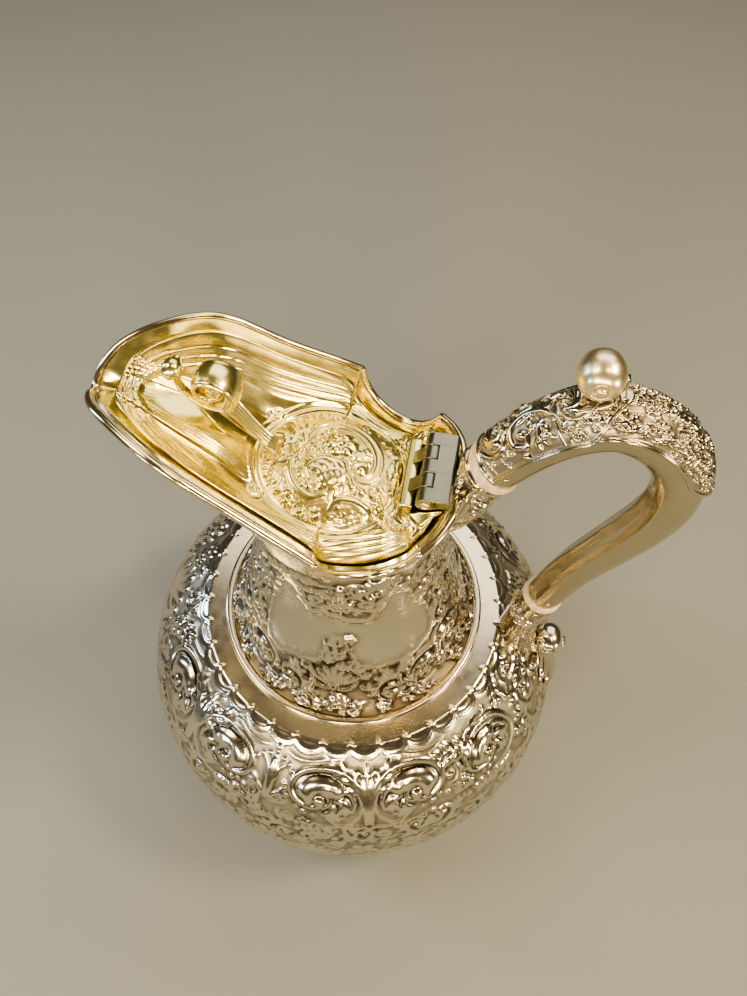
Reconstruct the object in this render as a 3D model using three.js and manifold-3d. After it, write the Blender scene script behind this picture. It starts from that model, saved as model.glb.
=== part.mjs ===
// Wine jug in silver and silver-gilt: a squat chased body, a conical neck that opens into a helmet-shaped
// mouth, a hinged lid that lies inside the mouth, and a hollow handle between two ivory-coloured insulators.
// Millimetres, +Z up, handle toward +X, spout toward -X.
import * as THREE from 'three';
import { mergeVertices } from 'three/addons/utils/BufferGeometryUtils.js';
import Module from 'manifold-3d';

const wasm = await Module();
wasm.setup();

// Fits and sheet thicknesses
const seatGap = 0.3;
const sheet = 1.4;
const sides = 44;
const smallSides = 14;
const sliverSize = 0.02;

// Foot and body
const footHeight = 6;
const footRadius = 44;
const footRingWidth = 5.5;
const floorRadius = 42;
const bodyRadius = 80;
const bulgeHeight = 55;
const lowerFullness = 2.4;
const upperFullness = 2.46;
const shoulderRadius = 53;
const shoulderHeight = 105;
const bodyOpeningRadius = 42.4;

// Chased relief of the body, main forms only: runs are counted down the outline from the shoulder's edge,
// and angles are in degrees from the handle.
const chasedColumns = 108;
const chasedRowRuns = [1, 2.7];
const chasedRowStep = 3.4;
const chasedSwell = 0.3;
const scallopCount = 36;
const scallopDepth = 2.3;
const scallopRise = 0.8;
const roundelRun = 18.6;
const roundelAngles = [36, 62.4, 87.6, 120.4, 145.6];
const roundelRing = 11.3;
const roundelRingHalf = 3.6;
const roundelBoss = 6.5;
const roundelRise = 1;
const sheafAngles = [75, 133];
const sheafTopRun = 9;
const sheafFootRun = 27.5;
const sheafHalf = 4.6;
const frondAngles = [47, 104, 160];
const frondHalf = 4.2;
const frondRise = 0.8;
const shellHalf = 13;
const lumpRise = 0.6;
const lumpCount = 14;
const lumpHalf = 9.5;
const wedgeTopUp = 37;
const wedgeFootUp = 20;
const wedgeCount = 20;
const wedgeHalf = 5.6;
const plainBehindJoint = [13, 20];

// Neck: radii at heights above the shoulder
const neckBaseRadius = 43.9;
const neckLowRadius = 38.6;
const neckLowRise = 11;
const neckMidRadius = 33.6;
const neckMidRise = 30;
const waistRadius = 28;
const waistRise = 60;
const neckRingSection = 2.2;

// Chased relief of the neck: angle, height above the shoulder and half width of each form, and plain reserves
const neckSteps = 14;
const neckChasedRises = [1.6, 4, 67, 71];
const neckLowForms = [[20.6, 19, 7], [39, 13.5, 6.4], [62, 12.5, 7], [89, 18.5, 8], [110, 12.5, 7]];
const neckSpoutForms = [[133, 13.5, 6.4], [148, 34, 6], [142, 53, 6], [159.4, 19, 7], [180, 41, 7]];
const neckHighForms = [[0, 41, 7], [24, 35, 6], [30, 53, 6], [86, 61, 7]];
const neckFormRise = 0.75;
const reserveFields = [[82, 38.5, 50, 14], [117, 53, 9, 13], [52, 52, 9, 12]];

// Mouth rim: spout tip, crest of the side edge, side cusp, scooped arc, rear cusp and back.
// Rises are above the waist.
const spoutReach = 67.8;
const spoutTipRise = 44.6;
const crestRise = 52.4;
const cuspForward = 3;
const cuspHalfWidth = 33;
const cuspRise = 29.8;
const scoopRise = 18.2;
const rearCuspReach = 22.3;
const rearCuspHalfWidth = 23.2;
const rearCuspRise = 26;
const rimBackReach = 30.6;
const rimBackRise = 29.4;
const flangeWidth = 0.9;
const tipFlangeWidth = 3.4;
const tipFlangeSteps = 2.6;
const flangeDrop = 2.2;
const rimWireDiameter = 2.2;

// Hinge: five knuckles on one pin, set in from the back of the rim
const hingeSetback = 9.6;
const hingeLift = 1.4;
const blockSetback = 3;
const knuckleRadius = 2.6;
const hingePinRadius = 0.9;
const knuckleLength = 4.1;
const knuckleCount = 5;
const knucklePlay = 0.3;

// Lid: outline clearance, centre line, dome, ridge, border, leaf and scroll
const lidSheet = 1.2;
const lidEdgeClearance = 0.6;
const lidRise = 0.6;
const spoutLip = 8.6;
const lidFrontLift = 2.9;
const lidRearGap = 3.6;
const lidRearDrop = 4.2;
const lidDip = 8.2;
const lidMiddle = -15;
const domeCentre = -5.5;
const domeLength = 39;
const domeWidth = 37;
const domeHeight = 6.4;
const ridgeHalfWidth = 6.5;
const ridgeHeight = 0.9;
const borderWidth = 0.1;
const borderThickness = 1;
const frontLeafLength = 13;
const frontLeafHalfWidth = 6.4;
const frontLeafThickness = 1.1;
const frontLeafLift = 0.55;
const hingePlateDepth = 4;
const scrollWidth = 9;
const scrollThickness = 1.5;
const scrollRadius = 6.2;
const scrollSetback = 25.2;
const scrollRise = 16.9;
const propThickness = 1.4;
const propWidth = 5;
const budRadius = 2.3;
const budForward = 9;
const budRise = 4.2;

// Handle: joints, crown and bend, then its sections, insulators, pins and applied leaves
const upperJointRun = 7;
const upperJointRise = 9.6;
const crownRun = 22.9;
const crownRise = 23.2;
const bendReach = 81.3;
const bendRise = 63;
const lowerJointRun = 10.3;
const lowerJointRise = 31;
const handleStartDiameter = 13.6;
const handleCrownDiameter = 14.2;
const handleBendDiameter = 12.8;
const handleEndDiameter = 11.4;
const handleWall = 1.6;
const insulatorThickness = 3.2;
const insulatorProud = 0.7;
const tenonLength = 8;
const crossPinRadius = 0.8;
const crossPinSetback = 4.6;
const overlayThickness = 1.1;
const overlayHalfAngle = 80;
const ballRadius = 5;
const thumbBallForward = 7.5;
const thumbBallRise = 13.4;
const lowerBallRun = 19.6;
const lowerBallDrop = 5.5;
const socketProud = 0.2;
const lowerSocketRun = 6.8;
const lowerSocketSpread = 1.6;
const upperSocketSpread = 1.2;
const dropLeafTop = 13.5;
const dropLeafLength = 25.5;
const dropLeafHalfWidth = 9;

// Colours from the photograph
const silverColour = 0xc9c3b6;
const agedSilverColour = 0x9b9a90;
const giltColour = 0xd9b65a;
const insulatorColour = 0xd8c6a4;

const floorHeight = footHeight + seatGap;
const neckBaseHeight = shoulderHeight + seatGap;
const waistHeight = shoulderHeight + waistRise;
const spoutTipHeight = waistHeight + spoutTipRise;
const crestHeight = waistHeight + crestRise;
const cuspHeight = waistHeight + cuspRise;
const scoopHeight = waistHeight + scoopRise;
const rearCuspHeight = waistHeight + rearCuspRise;
const rimBackHeight = waistHeight + rimBackRise;
const hingeReach = rimBackReach - hingeSetback;
const hingeHeight = rimBackHeight + hingeLift;
const blockReach = rimBackReach - blockSetback;
const lidFrontReach = spoutReach - spoutLip;
const lidFrontHeight = spoutTipHeight + lidFrontLift;
const lidRearReach = hingeReach - lidRearGap;
const lidRearHeight = hingeHeight - lidRearDrop;
const lidLowHeight = hingeHeight - lidDip;
const lowerBallReach = shoulderRadius + lowerBallRun;
const lowerBallHeight = shoulderHeight - lowerBallDrop;

const silver = () => new THREE.MeshStandardMaterial({ color: silverColour, metalness: 1, roughness: 0.2 });
const aged = () => new THREE.MeshStandardMaterial({ color: agedSilverColour, metalness: 1, roughness: 0.35 });
const gilt = () => new THREE.MeshStandardMaterial({ color: giltColour, metalness: 1, roughness: 0.22 });
const ivory = () => new THREE.MeshStandardMaterial({ color: insulatorColour, metalness: 0, roughness: 0.4 });

const jug = new THREE.Group();

function addPiece(name, geometry, material) {
  const mesh = new THREE.Mesh(geometry, material);
  mesh.name = name;
  jug.add(mesh);
  return mesh;
}

// Merges shared corners and turns all faces outward.
function closed(geometry) {
  const bare = geometry.index ? geometry.toNonIndexed() : geometry.clone();
  bare.deleteAttribute('normal');
  bare.deleteAttribute('uv');
  const merged = mergeVertices(bare, 1e-4);
  const place = merged.attributes.position;
  const kept = [];
  const a = new THREE.Vector3();
  const b = new THREE.Vector3();
  const c = new THREE.Vector3();
  let volume = 0;
  for (let i = 0; i < merged.index.count; i += 3) {
    const corner = [0, 1, 2].map((k) => merged.index.getX(i + k));
    if (new Set(corner).size < 3) continue;
    a.fromBufferAttribute(place, corner[0]);
    b.fromBufferAttribute(place, corner[1]);
    c.fromBufferAttribute(place, corner[2]);
    volume += a.dot(b.clone().cross(c));
    kept.push(corner);
  }
  const order = volume < 0 ? [0, 2, 1] : [0, 1, 2];
  merged.setIndex(kept.flatMap((corner) => order.map((k) => corner[k])));
  return merged;
}

function toSolid(geometry) {
  const merged = closed(geometry);
  return new wasm.Manifold(new wasm.Mesh({
    numProp: 3,
    vertProperties: new Float32Array(merged.attributes.position.array),
    triVerts: new Uint32Array(merged.index.array),
  }));
}

function toGeometry(solid) {
  const mesh = solid.simplify(sliverSize).getMesh();
  const geometry = new THREE.BufferGeometry();
  geometry.setAttribute('position', new THREE.BufferAttribute(new Float32Array(mesh.vertProperties), 3));
  geometry.setIndex(new THREE.BufferAttribute(new Uint32Array(mesh.triVerts), 1));
  return geometry;
}

// Skins a stack of equally long loops of points; wrap joins the last loop to the first, else caps close it.
// A folded cap is laid in strips across a flat loop, and any other is a fan round its middle.
function skin(loops, wrap, folded = false) {
  const count = loops[0].length;
  const points = loops.flat();
  const faces = [];
  const last = wrap ? loops.length : loops.length - 1;
  for (let row = 0; row < last; row += 1) {
    const next = (row + 1) % loops.length;
    for (let k = 0; k < count; k += 1) {
      const m = (k + 1) % count;
      const a = row * count + k;
      const b = row * count + m;
      const c = next * count + m;
      const d = next * count + k;
      faces.push(a, b, c, a, c, d);
    }
  }
  if (!wrap && folded) {
    const base = (loops.length - 1) * count;
    for (let k = 0; k < count / 2 - 1; k += 1) {
      const far = count - 1 - k;
      faces.push(k, far, far - 1, k, far - 1, k + 1);
      faces.push(base + k, base + k + 1, base + far - 1, base + k, base + far - 1, base + far);
    }
  } else if (!wrap) {
    const ends = [loops[0], loops[loops.length - 1]];
    ends.forEach((loop, end) => {
      const middle = loop.reduce((sum, p) => sum.add(p), new THREE.Vector3()).divideScalar(count);
      points.push(middle);
      const base = end === 0 ? 0 : (loops.length - 1) * count;
      for (let k = 0; k < count; k += 1) {
        const m = (k + 1) % count;
        const pair = end === 0 ? [base + m, base + k] : [base + k, base + m];
        faces.push(...pair, points.length - 1);
      }
    });
  }
  const geometry = new THREE.BufferGeometry();
  const numbers = points.flatMap((p) => [p.x, p.y, p.z]);
  geometry.setAttribute('position', new THREE.Float32BufferAttribute(numbers, 3));
  geometry.setIndex(faces);
  return closed(geometry);
}

// Turns a list of [radius, height] points about the jug's axis.
function turned(profile, count = sides) {
  const points = profile.map(([radius, height]) => new THREE.Vector2(radius, height));
  const geometry = new THREE.LatheGeometry(points, count);
  geometry.rotateX(Math.PI / 2);
  return closed(geometry);
}

// Moves an open line of [radius, height] points sideways, to the left of its direction.
function offsetLine(line, distance) {
  return line.map(([radius, height], i) => {
    const before = line[Math.max(i - 1, 0)];
    const after = line[Math.min(i + 1, line.length - 1)];
    const run = Math.hypot(after[0] - before[0], after[1] - before[1]);
    const along = [(after[0] - before[0]) / run, (after[1] - before[1]) / run];
    return [Math.max(radius - along[1] * distance, 0), height + along[0] * distance];
  });
}

// Quarter of a full-bellied bowl from the widest circle to a chosen radius and height.
function bulgeArc(endRadius, endHeight, fullness, steps) {
  const endAngle = Math.acos((endRadius / bodyRadius) ** (fullness / 2));
  const depth = (endHeight - bulgeHeight) / Math.sin(endAngle) ** (2 / fullness);
  return Array.from({ length: steps + 1 }, (_, i) => {
    const angle = (endAngle * i) / steps;
    const radius = bodyRadius * Math.cos(angle) ** (2 / fullness);
    return [radius, bulgeHeight + depth * Math.sin(angle) ** (2 / fullness)];
  });
}

const lowerArc = bulgeArc(floorRadius, floorHeight, lowerFullness, 8);
const upperArc = bulgeArc(shoulderRadius, shoulderHeight, upperFullness, 9);
const bodyLine = [
  [0, floorHeight],
  ...lowerArc.reverse(),
  ...upperArc.slice(1),
  [bodyOpeningRadius, shoulderHeight],
];

// Line of the chased surface from the shoulder's edge round the belly to the floor.
const vec = (x, y, z) => new THREE.Vector3(x, y, z);
const chasedLine = new THREE.CatmullRomCurve3([
  ...bulgeArc(shoulderRadius, shoulderHeight, upperFullness, 60).reverse(),
  ...bulgeArc(floorRadius, floorHeight, lowerFullness, 60).slice(1),
].map(([radius, height]) => vec(radius, 0, height)));
const chasedLength = chasedLine.getLength();
const firstEvenRun = chasedRowRuns[chasedRowRuns.length - 1] + chasedRowStep;
const evenRows = Math.round((chasedLength - firstEvenRun) / chasedRowStep);
const chasedRuns = [
  0,
  ...chasedRowRuns,
  ...Array.from({ length: evenRows }, (_, i) => THREE.MathUtils.lerp(firstEvenRun, chasedLength, i / evenRows)),
  chasedLength,
];

const mound = (distance, reach) => Math.max(1 - (distance / reach) ** 2, 0);
const onLine = (run) => {
  const p = chasedLine.getPointAt(run / chasedLength);
  return [p.x, p.z];
};
const polar = (degrees, [radius, height]) => {
  const angle = THREE.MathUtils.degToRad(degrees);
  return vec(radius * Math.cos(angle), radius * Math.sin(angle), height);
};
const between = (value, low, high) => THREE.MathUtils.smoothstep(value, low, high);
const roundels = roundelAngles.map((degrees) => polar(degrees, onLine(roundelRun)));
const shell = polar(180, onLine(roundelRun));
const widest = [bodyRadius, bulgeHeight];
const lumps = Array.from({ length: lumpCount }, (_, k) => polar(((k + 0.5) * 360) / lumpCount, widest));
const upright = (degrees, top, foot) => (
  new THREE.Line3(polar(degrees, onLine(foot)), polar(degrees, onLine(top)))
);
const sheaves = sheafAngles.map((degrees) => upright(degrees, sheafTopRun, sheafFootRun));
const fronds = frondAngles.map((degrees) => upright(degrees, sheafTopRun, sheafFootRun));
const wedgeAngles = Array.from({ length: wedgeCount }, (_, k) => (k * 360) / wedgeCount);
const fromFloor = (up) => chasedLength - up;
const wedges = wedgeAngles.map((degrees) => upright(degrees, fromFloor(wedgeTopUp), fromFloor(wedgeFootUp)));
const gapTo = (line, p) => line.closestPointToPoint(p, true, vec(0, 0, 0)).distanceTo(p);

// Height of the body's main chased forms at a point of the plain surface; the two sides mirror each other.
function bodyRelief(point) {
  const p = vec(point.x, Math.abs(point.y), point.z);
  const heights = [
    ...roundels.map((centre) => {
      const gap = centre.distanceTo(p);
      return roundelRise * Math.max(mound(gap - roundelRing, roundelRingHalf), mound(gap, roundelBoss));
    }),
    roundelRise * mound(shell.distanceTo(p), shellHalf),
    ...sheaves.map((line) => roundelRise * mound(gapTo(line, p), sheafHalf)),
    ...fronds.map((line) => frondRise * mound(gapTo(line, p), frondHalf)),
    ...lumps.map((centre) => lumpRise * mound(centre.distanceTo(p), lumpHalf)),
    ...wedges.map((line) => lumpRise * mound(gapTo(line, p), wedgeHalf)),
  ];
  return chasedSwell + Math.max(...heights);
}

// Outer surface of the body: the top rows follow the scallops of the border, and the first is its raised line.
function chasedLoops() {
  return chasedRuns.map((run, row) => Array.from({ length: chasedColumns }, (_, k) => {
    const degrees = (360 * k) / chasedColumns;
    const arch = scallopDepth * Math.abs(Math.sin(THREE.MathUtils.degToRad(degrees * scallopCount) / 2));
    const besideJoint = between(Math.min(degrees, 360 - degrees), ...plainBehindJoint);
    const follow = row > 0 && row <= chasedRowRuns.length + 1 ? besideJoint : 0;
    const share = (run + arch * follow) / chasedLength;
    const base = chasedLine.getPointAt(share);
    const along = chasedLine.getTangentAt(share);
    const flat = row === 0 || row === chasedRuns.length - 1;
    const rise = row === 1 ? scallopRise : bodyRelief(polar(degrees, [base.x, base.z]));
    const lift = flat ? 0 : rise * (base.z > bulgeHeight ? besideJoint : 1);
    return polar(degrees, [base.x - along.z * lift, base.z + along.x * lift]);
  }));
}

function bodyBowl() {
  const inside = offsetLine(bodyLine, sheet);
  inside[inside.length - 1] = [bodyOpeningRadius, shoulderHeight - sheet];
  const above = shoulderHeight + sheet;
  const hollow = turned([...inside, [bodyOpeningRadius, above], [0, above]]);
  return closed(toGeometry(toSolid(skin(chasedLoops(), false)).subtract(toSolid(hollow))));
}

// Body as a filled block, swollen by a clearance, for trimming what sits on it.
function bodyEnvelope(clearance) {
  const line = chasedRuns.map((run) => chasedLine.getPointAt(run / chasedLength)).map((p) => [p.x, p.z]);
  const whole = [[0, floorHeight], ...line.reverse(), [bodyOpeningRadius, shoulderHeight]];
  const outside = offsetLine(whole, -clearance);
  const top = outside[outside.length - 1][1];
  return toSolid(turned([[0, floorHeight - clearance], ...outside.slice(1), [0, top]], chasedColumns));
}

function footRing() {
  const inner = footRadius - footRingWidth;
  const step = footHeight * 0.35;
  return turned([
    [inner, 0],
    [footRadius, 0],
    [footRadius, step],
    [footRadius - 1.6, step + 1],
    [footRadius - 2.2, footHeight],
    [inner, footHeight],
    [inner, 0],
  ]);
}

function neckRing() {
  const inner = neckBaseRadius + seatGap;
  const base = neckBaseHeight;
  const section = neckRingSection;
  return turned([
    [inner, base],
    [inner + section, base],
    [inner + section, base + section * 0.35],
    [inner + section * 0.8, base + section * 0.65],
    [inner + section * 0.35, base + section * 0.75],
    [inner, base + section * 0.7],
    [inner, base],
  ]);
}

// Half outline of the rim from the spout tip to the back: three smooth stretches that meet at the two cusps.
const cuspPoint = vec(-cuspForward, cuspHalfWidth, cuspHeight);
const rearCuspPoint = vec(rearCuspReach, rearCuspHalfWidth, rearCuspHeight);
const crestLift = crestHeight - cuspHeight;
const frontStretch = new THREE.CatmullRomCurve3([
  vec(-spoutReach, 0, spoutTipHeight),
  vec(-spoutReach * 0.98, cuspHalfWidth * 0.15, spoutTipHeight * 0.6 + crestHeight * 0.4),
  vec(-spoutReach * 0.93, cuspHalfWidth * 0.31, spoutTipHeight * 0.25 + crestHeight * 0.75),
  vec(-spoutReach * 0.82, cuspHalfWidth * 0.5, crestHeight),
  vec(-spoutReach * 0.6, cuspHalfWidth * 0.76, cuspHeight + crestLift * 0.94),
  vec(-spoutReach * 0.32, cuspHalfWidth * 0.88, cuspHeight + crestLift * 0.45),
  cuspPoint,
]);
const scoopDepth = cuspHeight - scoopHeight;
const scoopPoint = (along, halfWidth, depth) => vec(
  THREE.MathUtils.lerp(-cuspForward, rearCuspReach, along),
  halfWidth,
  THREE.MathUtils.lerp(cuspHeight, rearCuspHeight, along) - scoopDepth * depth,
);
const widthBetween = (share) => THREE.MathUtils.lerp(rearCuspHalfWidth, cuspHalfWidth, share);
const scoopStretch = new THREE.CatmullRomCurve3([
  cuspPoint,
  scoopPoint(0.14, widthBetween(0.79), 0.6),
  scoopPoint(0.34, widthBetween(0.57), 0.86),
  scoopPoint(0.57, widthBetween(0.35), 0.9),
  scoopPoint(0.8, widthBetween(0.14), 0.62),
  rearCuspPoint,
]);
const backStretch = new THREE.CatmullRomCurve3([
  rearCuspPoint,
  vec(rimBackReach * 0.91, rearCuspHalfWidth * 0.7, rimBackHeight * 0.6 + rearCuspHeight * 0.4),
  vec(rimBackReach * 0.98, rearCuspHalfWidth * 0.38, rimBackHeight),
  vec(rimBackReach, 0, rimBackHeight),
]);
const stretchSteps = [13, 7, 4];
const halfOutline = [
  ...frontStretch.getSpacedPoints(stretchSteps[0]).slice(0, -1),
  ...scoopStretch.getSpacedPoints(stretchSteps[1]).slice(0, -1),
  ...backStretch.getSpacedPoints(stretchSteps[2]),
];
const mirrored = (p) => vec(p.x, -p.y, p.z);
const rimOutline = [...halfOutline, ...halfOutline.slice(1, -1).reverse().map(mirrored)];
const rimCount = rimOutline.length;

// Moves each point of a closed outline inward in plan by a distance that may differ from point to point.
function insetOutline(outline, distanceAt, dropAt) {
  const count = outline.length;
  return outline.map((p, k) => {
    const before = outline[(k + count - 1) % count];
    const after = outline[(k + 1) % count];
    const first = vec(p.x - before.x, p.y - before.y, 0).normalize();
    const second = vec(after.x - p.x, after.y - p.y, 0).normalize();
    const along = first.clone().add(second).normalize();
    const mitre = 1 / Math.max(along.dot(first), 0.8);
    const distance = distanceAt(k) * mitre;
    return vec(p.x + along.y * distance, p.y - along.x * distance, p.z - dropAt(k));
  });
}

const stepsFromTip = (k) => Math.min(k, rimCount - k);
const tipShare = (k) => Math.exp(-((stepsFromTip(k) / tipFlangeSteps) ** 2));
const wireRoom = rimWireDiameter + seatGap;
const edgeOutline = insetOutline(rimOutline, () => wireRoom, () => 0);
const flangeAt = (k) => THREE.MathUtils.lerp(flangeWidth, tipFlangeWidth, tipShare(k));
const throatOutline = insetOutline(edgeOutline, flangeAt, (k) => flangeDrop * (1 - tipShare(k)));

const neckCurve = new THREE.SplineCurve([
  new THREE.Vector2(neckBaseRadius, neckBaseHeight),
  new THREE.Vector2(neckLowRadius, shoulderHeight + neckLowRise),
  new THREE.Vector2(neckMidRadius, shoulderHeight + neckMidRise),
  new THREE.Vector2((neckMidRadius + waistRadius) / 2 - 0.9, shoulderHeight + (neckMidRise + waistRise) / 2),
  new THREE.Vector2(waistRadius, waistHeight),
]);

// Loops of the neck and mouth: circles below the waist, then a blend from the waist circle to the throat.
function mouthLoops(swell, steps) {
  const evenAngle = (k) => Math.PI - (2 * Math.PI * k) / rimCount;
  const rimAngle = (k) => {
    const angle = Math.atan2(throatOutline[k].y, throatOutline[k].x);
    return k > rimCount / 2 && angle > 0 ? angle - 2 * Math.PI : angle;
  };
  const loops = neckCurve.getPoints(steps).map((station, row, all) => {
    const turn = (row / (all.length - 1)) * 0.5;
    return rimOutline.map((_, k) => {
      const angle = THREE.MathUtils.lerp(evenAngle(k), rimAngle(k), turn);
      const radius = station.x + swell;
      return vec(radius * Math.cos(angle), radius * Math.sin(angle), station.y);
    });
  });
  const flareSteps = 5;
  for (let row = 1; row <= flareSteps; row += 1) {
    const t = row / flareSteps;
    const spread = t ** 1.6;
    const loop = throatOutline.map((goal, k) => {
      const angle = THREE.MathUtils.lerp(evenAngle(k), rimAngle(k), 0.5 + t * 0.5);
      const circle = vec(waistRadius * Math.cos(angle), waistRadius * Math.sin(angle), 0);
      return vec(
        THREE.MathUtils.lerp(circle.x, goal.x, spread),
        THREE.MathUtils.lerp(circle.y, goal.y, spread),
        THREE.MathUtils.lerp(waistHeight, goal.z, t),
      );
    });
    loops.push(insetOutline(loop, () => -swell, () => 0));
  }
  return loops;
}

// Moves a point of the plain neck outward by the height of the chased forms there.
const neckCentres = [...neckLowForms, ...neckSpoutForms, ...neckHighForms];
function neckRaised(point) {
  const radius = Math.hypot(point.x, point.y);
  const degrees = THREE.MathUtils.radToDeg(Math.atan2(Math.abs(point.y), point.x));
  const arc = (other) => THREE.MathUtils.degToRad(degrees - other) * radius;
  const rise = point.z - shoulderHeight;
  const gapFrom = (angle, middle) => Math.hypot(arc(angle), rise - middle);
  const heights = neckCentres.map(([angle, middle, half]) => mound(gapFrom(angle, middle), half));
  const plain = reserveFields.some(([angle, middle, wide, tall]) => (
    Math.hypot((degrees - angle) / wide, (rise - middle) / tall) < 1
  ));
  const [start, full, fall, end] = neckChasedRises;
  const fade = between(rise, start, full) * (1 - between(rise, fall, end));
  const lift = plain ? 0 : (chasedSwell + neckFormRise * Math.max(...heights)) * fade;
  const share = 1 + lift / radius;
  return vec(point.x * share, point.y * share, point.z);
}

function neckAndMouth() {
  const plain = [...mouthLoops(0, neckSteps), edgeOutline];
  const footShare = 1 - sheet / neckBaseRadius;
  const inside = plain.map((loop, row) => {
    if (row === 0) return loop.map((p) => vec(p.x * footShare, p.y * footShare, p.z));
    const flange = row === plain.length - 1;
    return insetOutline(loop, () => (flange ? sheet * 0.55 : sheet * 1.1), () => (flange ? -sheet * 0.5 : 0));
  });
  const outside = plain.map((loop) => loop.map((p) => neckRaised(p)));
  return skin([...outside, ...inside.reverse()], true);
}

// Neck and mouth as a filled block, swollen by a clearance, for trimming the sockets.
function mouthEnvelope(clearance) {
  const brim = insetOutline(edgeOutline, () => -clearance, () => 0);
  const above = brim.map((p) => vec(p.x, p.y, p.z + clearance));
  return toSolid(skin([...mouthLoops(clearance, neckSteps), brim, above], false));
}

// Sweeps a round section along a closed or open line of points; the section may change from point to point.
function sweptLoops(line, sectionAt, wrap) {
  const count = line.length;
  return line.map((p, i) => {
    const before = wrap ? line[(i + count - 1) % count] : line[Math.max(i - 1, 0)];
    const after = wrap ? line[(i + 1) % count] : line[Math.min(i + 1, count - 1)];
    const along = after.clone().sub(before).normalize();
    return sectionAt(p, along, i);
  });
}

function roundSection(radius, corners, across) {
  return (p, along) => {
    const sideways = across.clone().sub(along.clone().multiplyScalar(across.dot(along))).normalize();
    const upward = along.clone().cross(sideways);
    return Array.from({ length: corners }, (_, j) => {
      const angle = (2 * Math.PI * j) / corners;
      return p.clone()
        .addScaledVector(sideways, radius * Math.cos(angle))
        .addScaledVector(upward, radius * Math.sin(angle));
    });
  };
}

function rimWire(extra) {
  const radius = rimWireDiameter / 2 + extra;
  const line = insetOutline(rimOutline, () => rimWireDiameter / 2, () => sheet * 0.3);
  return skin(sweptLoops(line, roundSection(radius, 8, vec(0, 0, 1)), true), true);
}

// Pin or knuckle along Y.
function rodAlongY(radius, from, to, x, z, corners) {
  const rod = new THREE.CylinderGeometry(radius, radius, to - from, corners);
  rod.translate(x, (from + to) / 2, z);
  return rod;
}

function block(x0, x1, y0, y1, z0, z1) {
  const box = new THREE.BoxGeometry(x1 - x0, y1 - y0, z1 - z0);
  box.translate((x0 + x1) / 2, (y0 + y1) / 2, (z0 + z1) / 2);
  return box;
}

const hingeHalfLength = (knuckleCount * knuckleLength + (knuckleCount - 1) * knucklePlay) / 2;
const knuckleSpans = Array.from({ length: knuckleCount }, (_, i) => {
  const start = -hingeHalfLength + i * (knuckleLength + knucklePlay);
  return [start, start + knuckleLength];
});
const pinBore = () => {
  const end = hingeHalfLength + 1;
  return toSolid(rodAlongY(hingePinRadius + seatGap, -end, end, hingeReach, hingeHeight, smallSides));
};

// Fixed leaf: a plate that lies over the back edge of the mouth, with the odd knuckles.
function hingeBlock() {
  const plateBottom = rimBackHeight + sheet * 0.5 + seatGap;
  const plateTop = hingeHeight + knuckleRadius;
  const clearOfLid = hingeReach + knuckleRadius + knucklePlay;
  const halfLength = hingeHalfLength;
  let solid = toSolid(block(clearOfLid, blockReach, -halfLength, halfLength, plateBottom, plateTop));
  knuckleSpans.filter((_, i) => i % 2 === 0).forEach(([from, to]) => {
    solid = solid.add(toSolid(rodAlongY(knuckleRadius, from, to, hingeReach, hingeHeight, smallSides)));
    solid = solid.add(toSolid(block(hingeReach, clearOfLid + 0.5, from, to, plateBottom, plateTop)));
  });
  return closed(toGeometry(solid.subtract(pinBore())));
}

function hingePin() {
  return closed(rodAlongY(hingePinRadius, -hingeHalfLength, hingeHalfLength, hingeReach, hingeHeight, 12));
}

// Lid outline: the throat's inner wall less a clearance, cut square at the front and along the hinge.
const lidInset = sheet * 1.1 + lidEdgeClearance;
const throatInside = insetOutline(throatOutline, () => lidInset, () => -lidRise);
const hingeRoom = hingeHalfLength + knucklePlay * 2;
const lidOutline = throatInside.map((p) => {
  const x = Math.max(p.x, -lidFrontReach);
  const z = p.x < -lidFrontReach ? lidFrontHeight : p.z;
  if (Math.abs(p.y) > hingeRoom) return vec(Math.min(x, hingeReach + 2), p.y, z);
  return x > 0 ? vec(lidRearReach, p.y, lidRearHeight) : vec(x, p.y, z);
});
const lidHalf = lidOutline.slice(0, rimCount / 2 + 1);

// Height of the lid's upper face on its centre line: shares of the way to the front edge and of the rise.
const lidCentreShares = [
  [0.847, 0.803], [0.676, 0.518], [0.558, 0.225], [0.426, 0.072], [0.295, 0.016], [0.124, 0], [0.051, 0.032],
];
const lidCentreLine = new THREE.SplineCurve([
  new THREE.Vector2(-lidFrontReach, lidOutline[0].z),
  ...lidCentreShares.map(([along, rise]) => new THREE.Vector2(
    THREE.MathUtils.lerp(lidRearReach, -lidFrontReach, along),
    THREE.MathUtils.lerp(lidLowHeight, lidFrontHeight, rise),
  )),
  new THREE.Vector2(lidRearReach, lidRearHeight),
]).getPoints(60);

function centreHeight(x) {
  const after = lidCentreLine.findIndex((p) => p.x >= x);
  if (after <= 0) return after === 0 ? lidCentreLine[0].y : lidCentreLine[lidCentreLine.length - 1].y;
  const [a, b] = [lidCentreLine[after - 1], lidCentreLine[after]];
  return THREE.MathUtils.lerp(a.y, b.y, (x - a.x) / (b.x - a.x));
}

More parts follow.
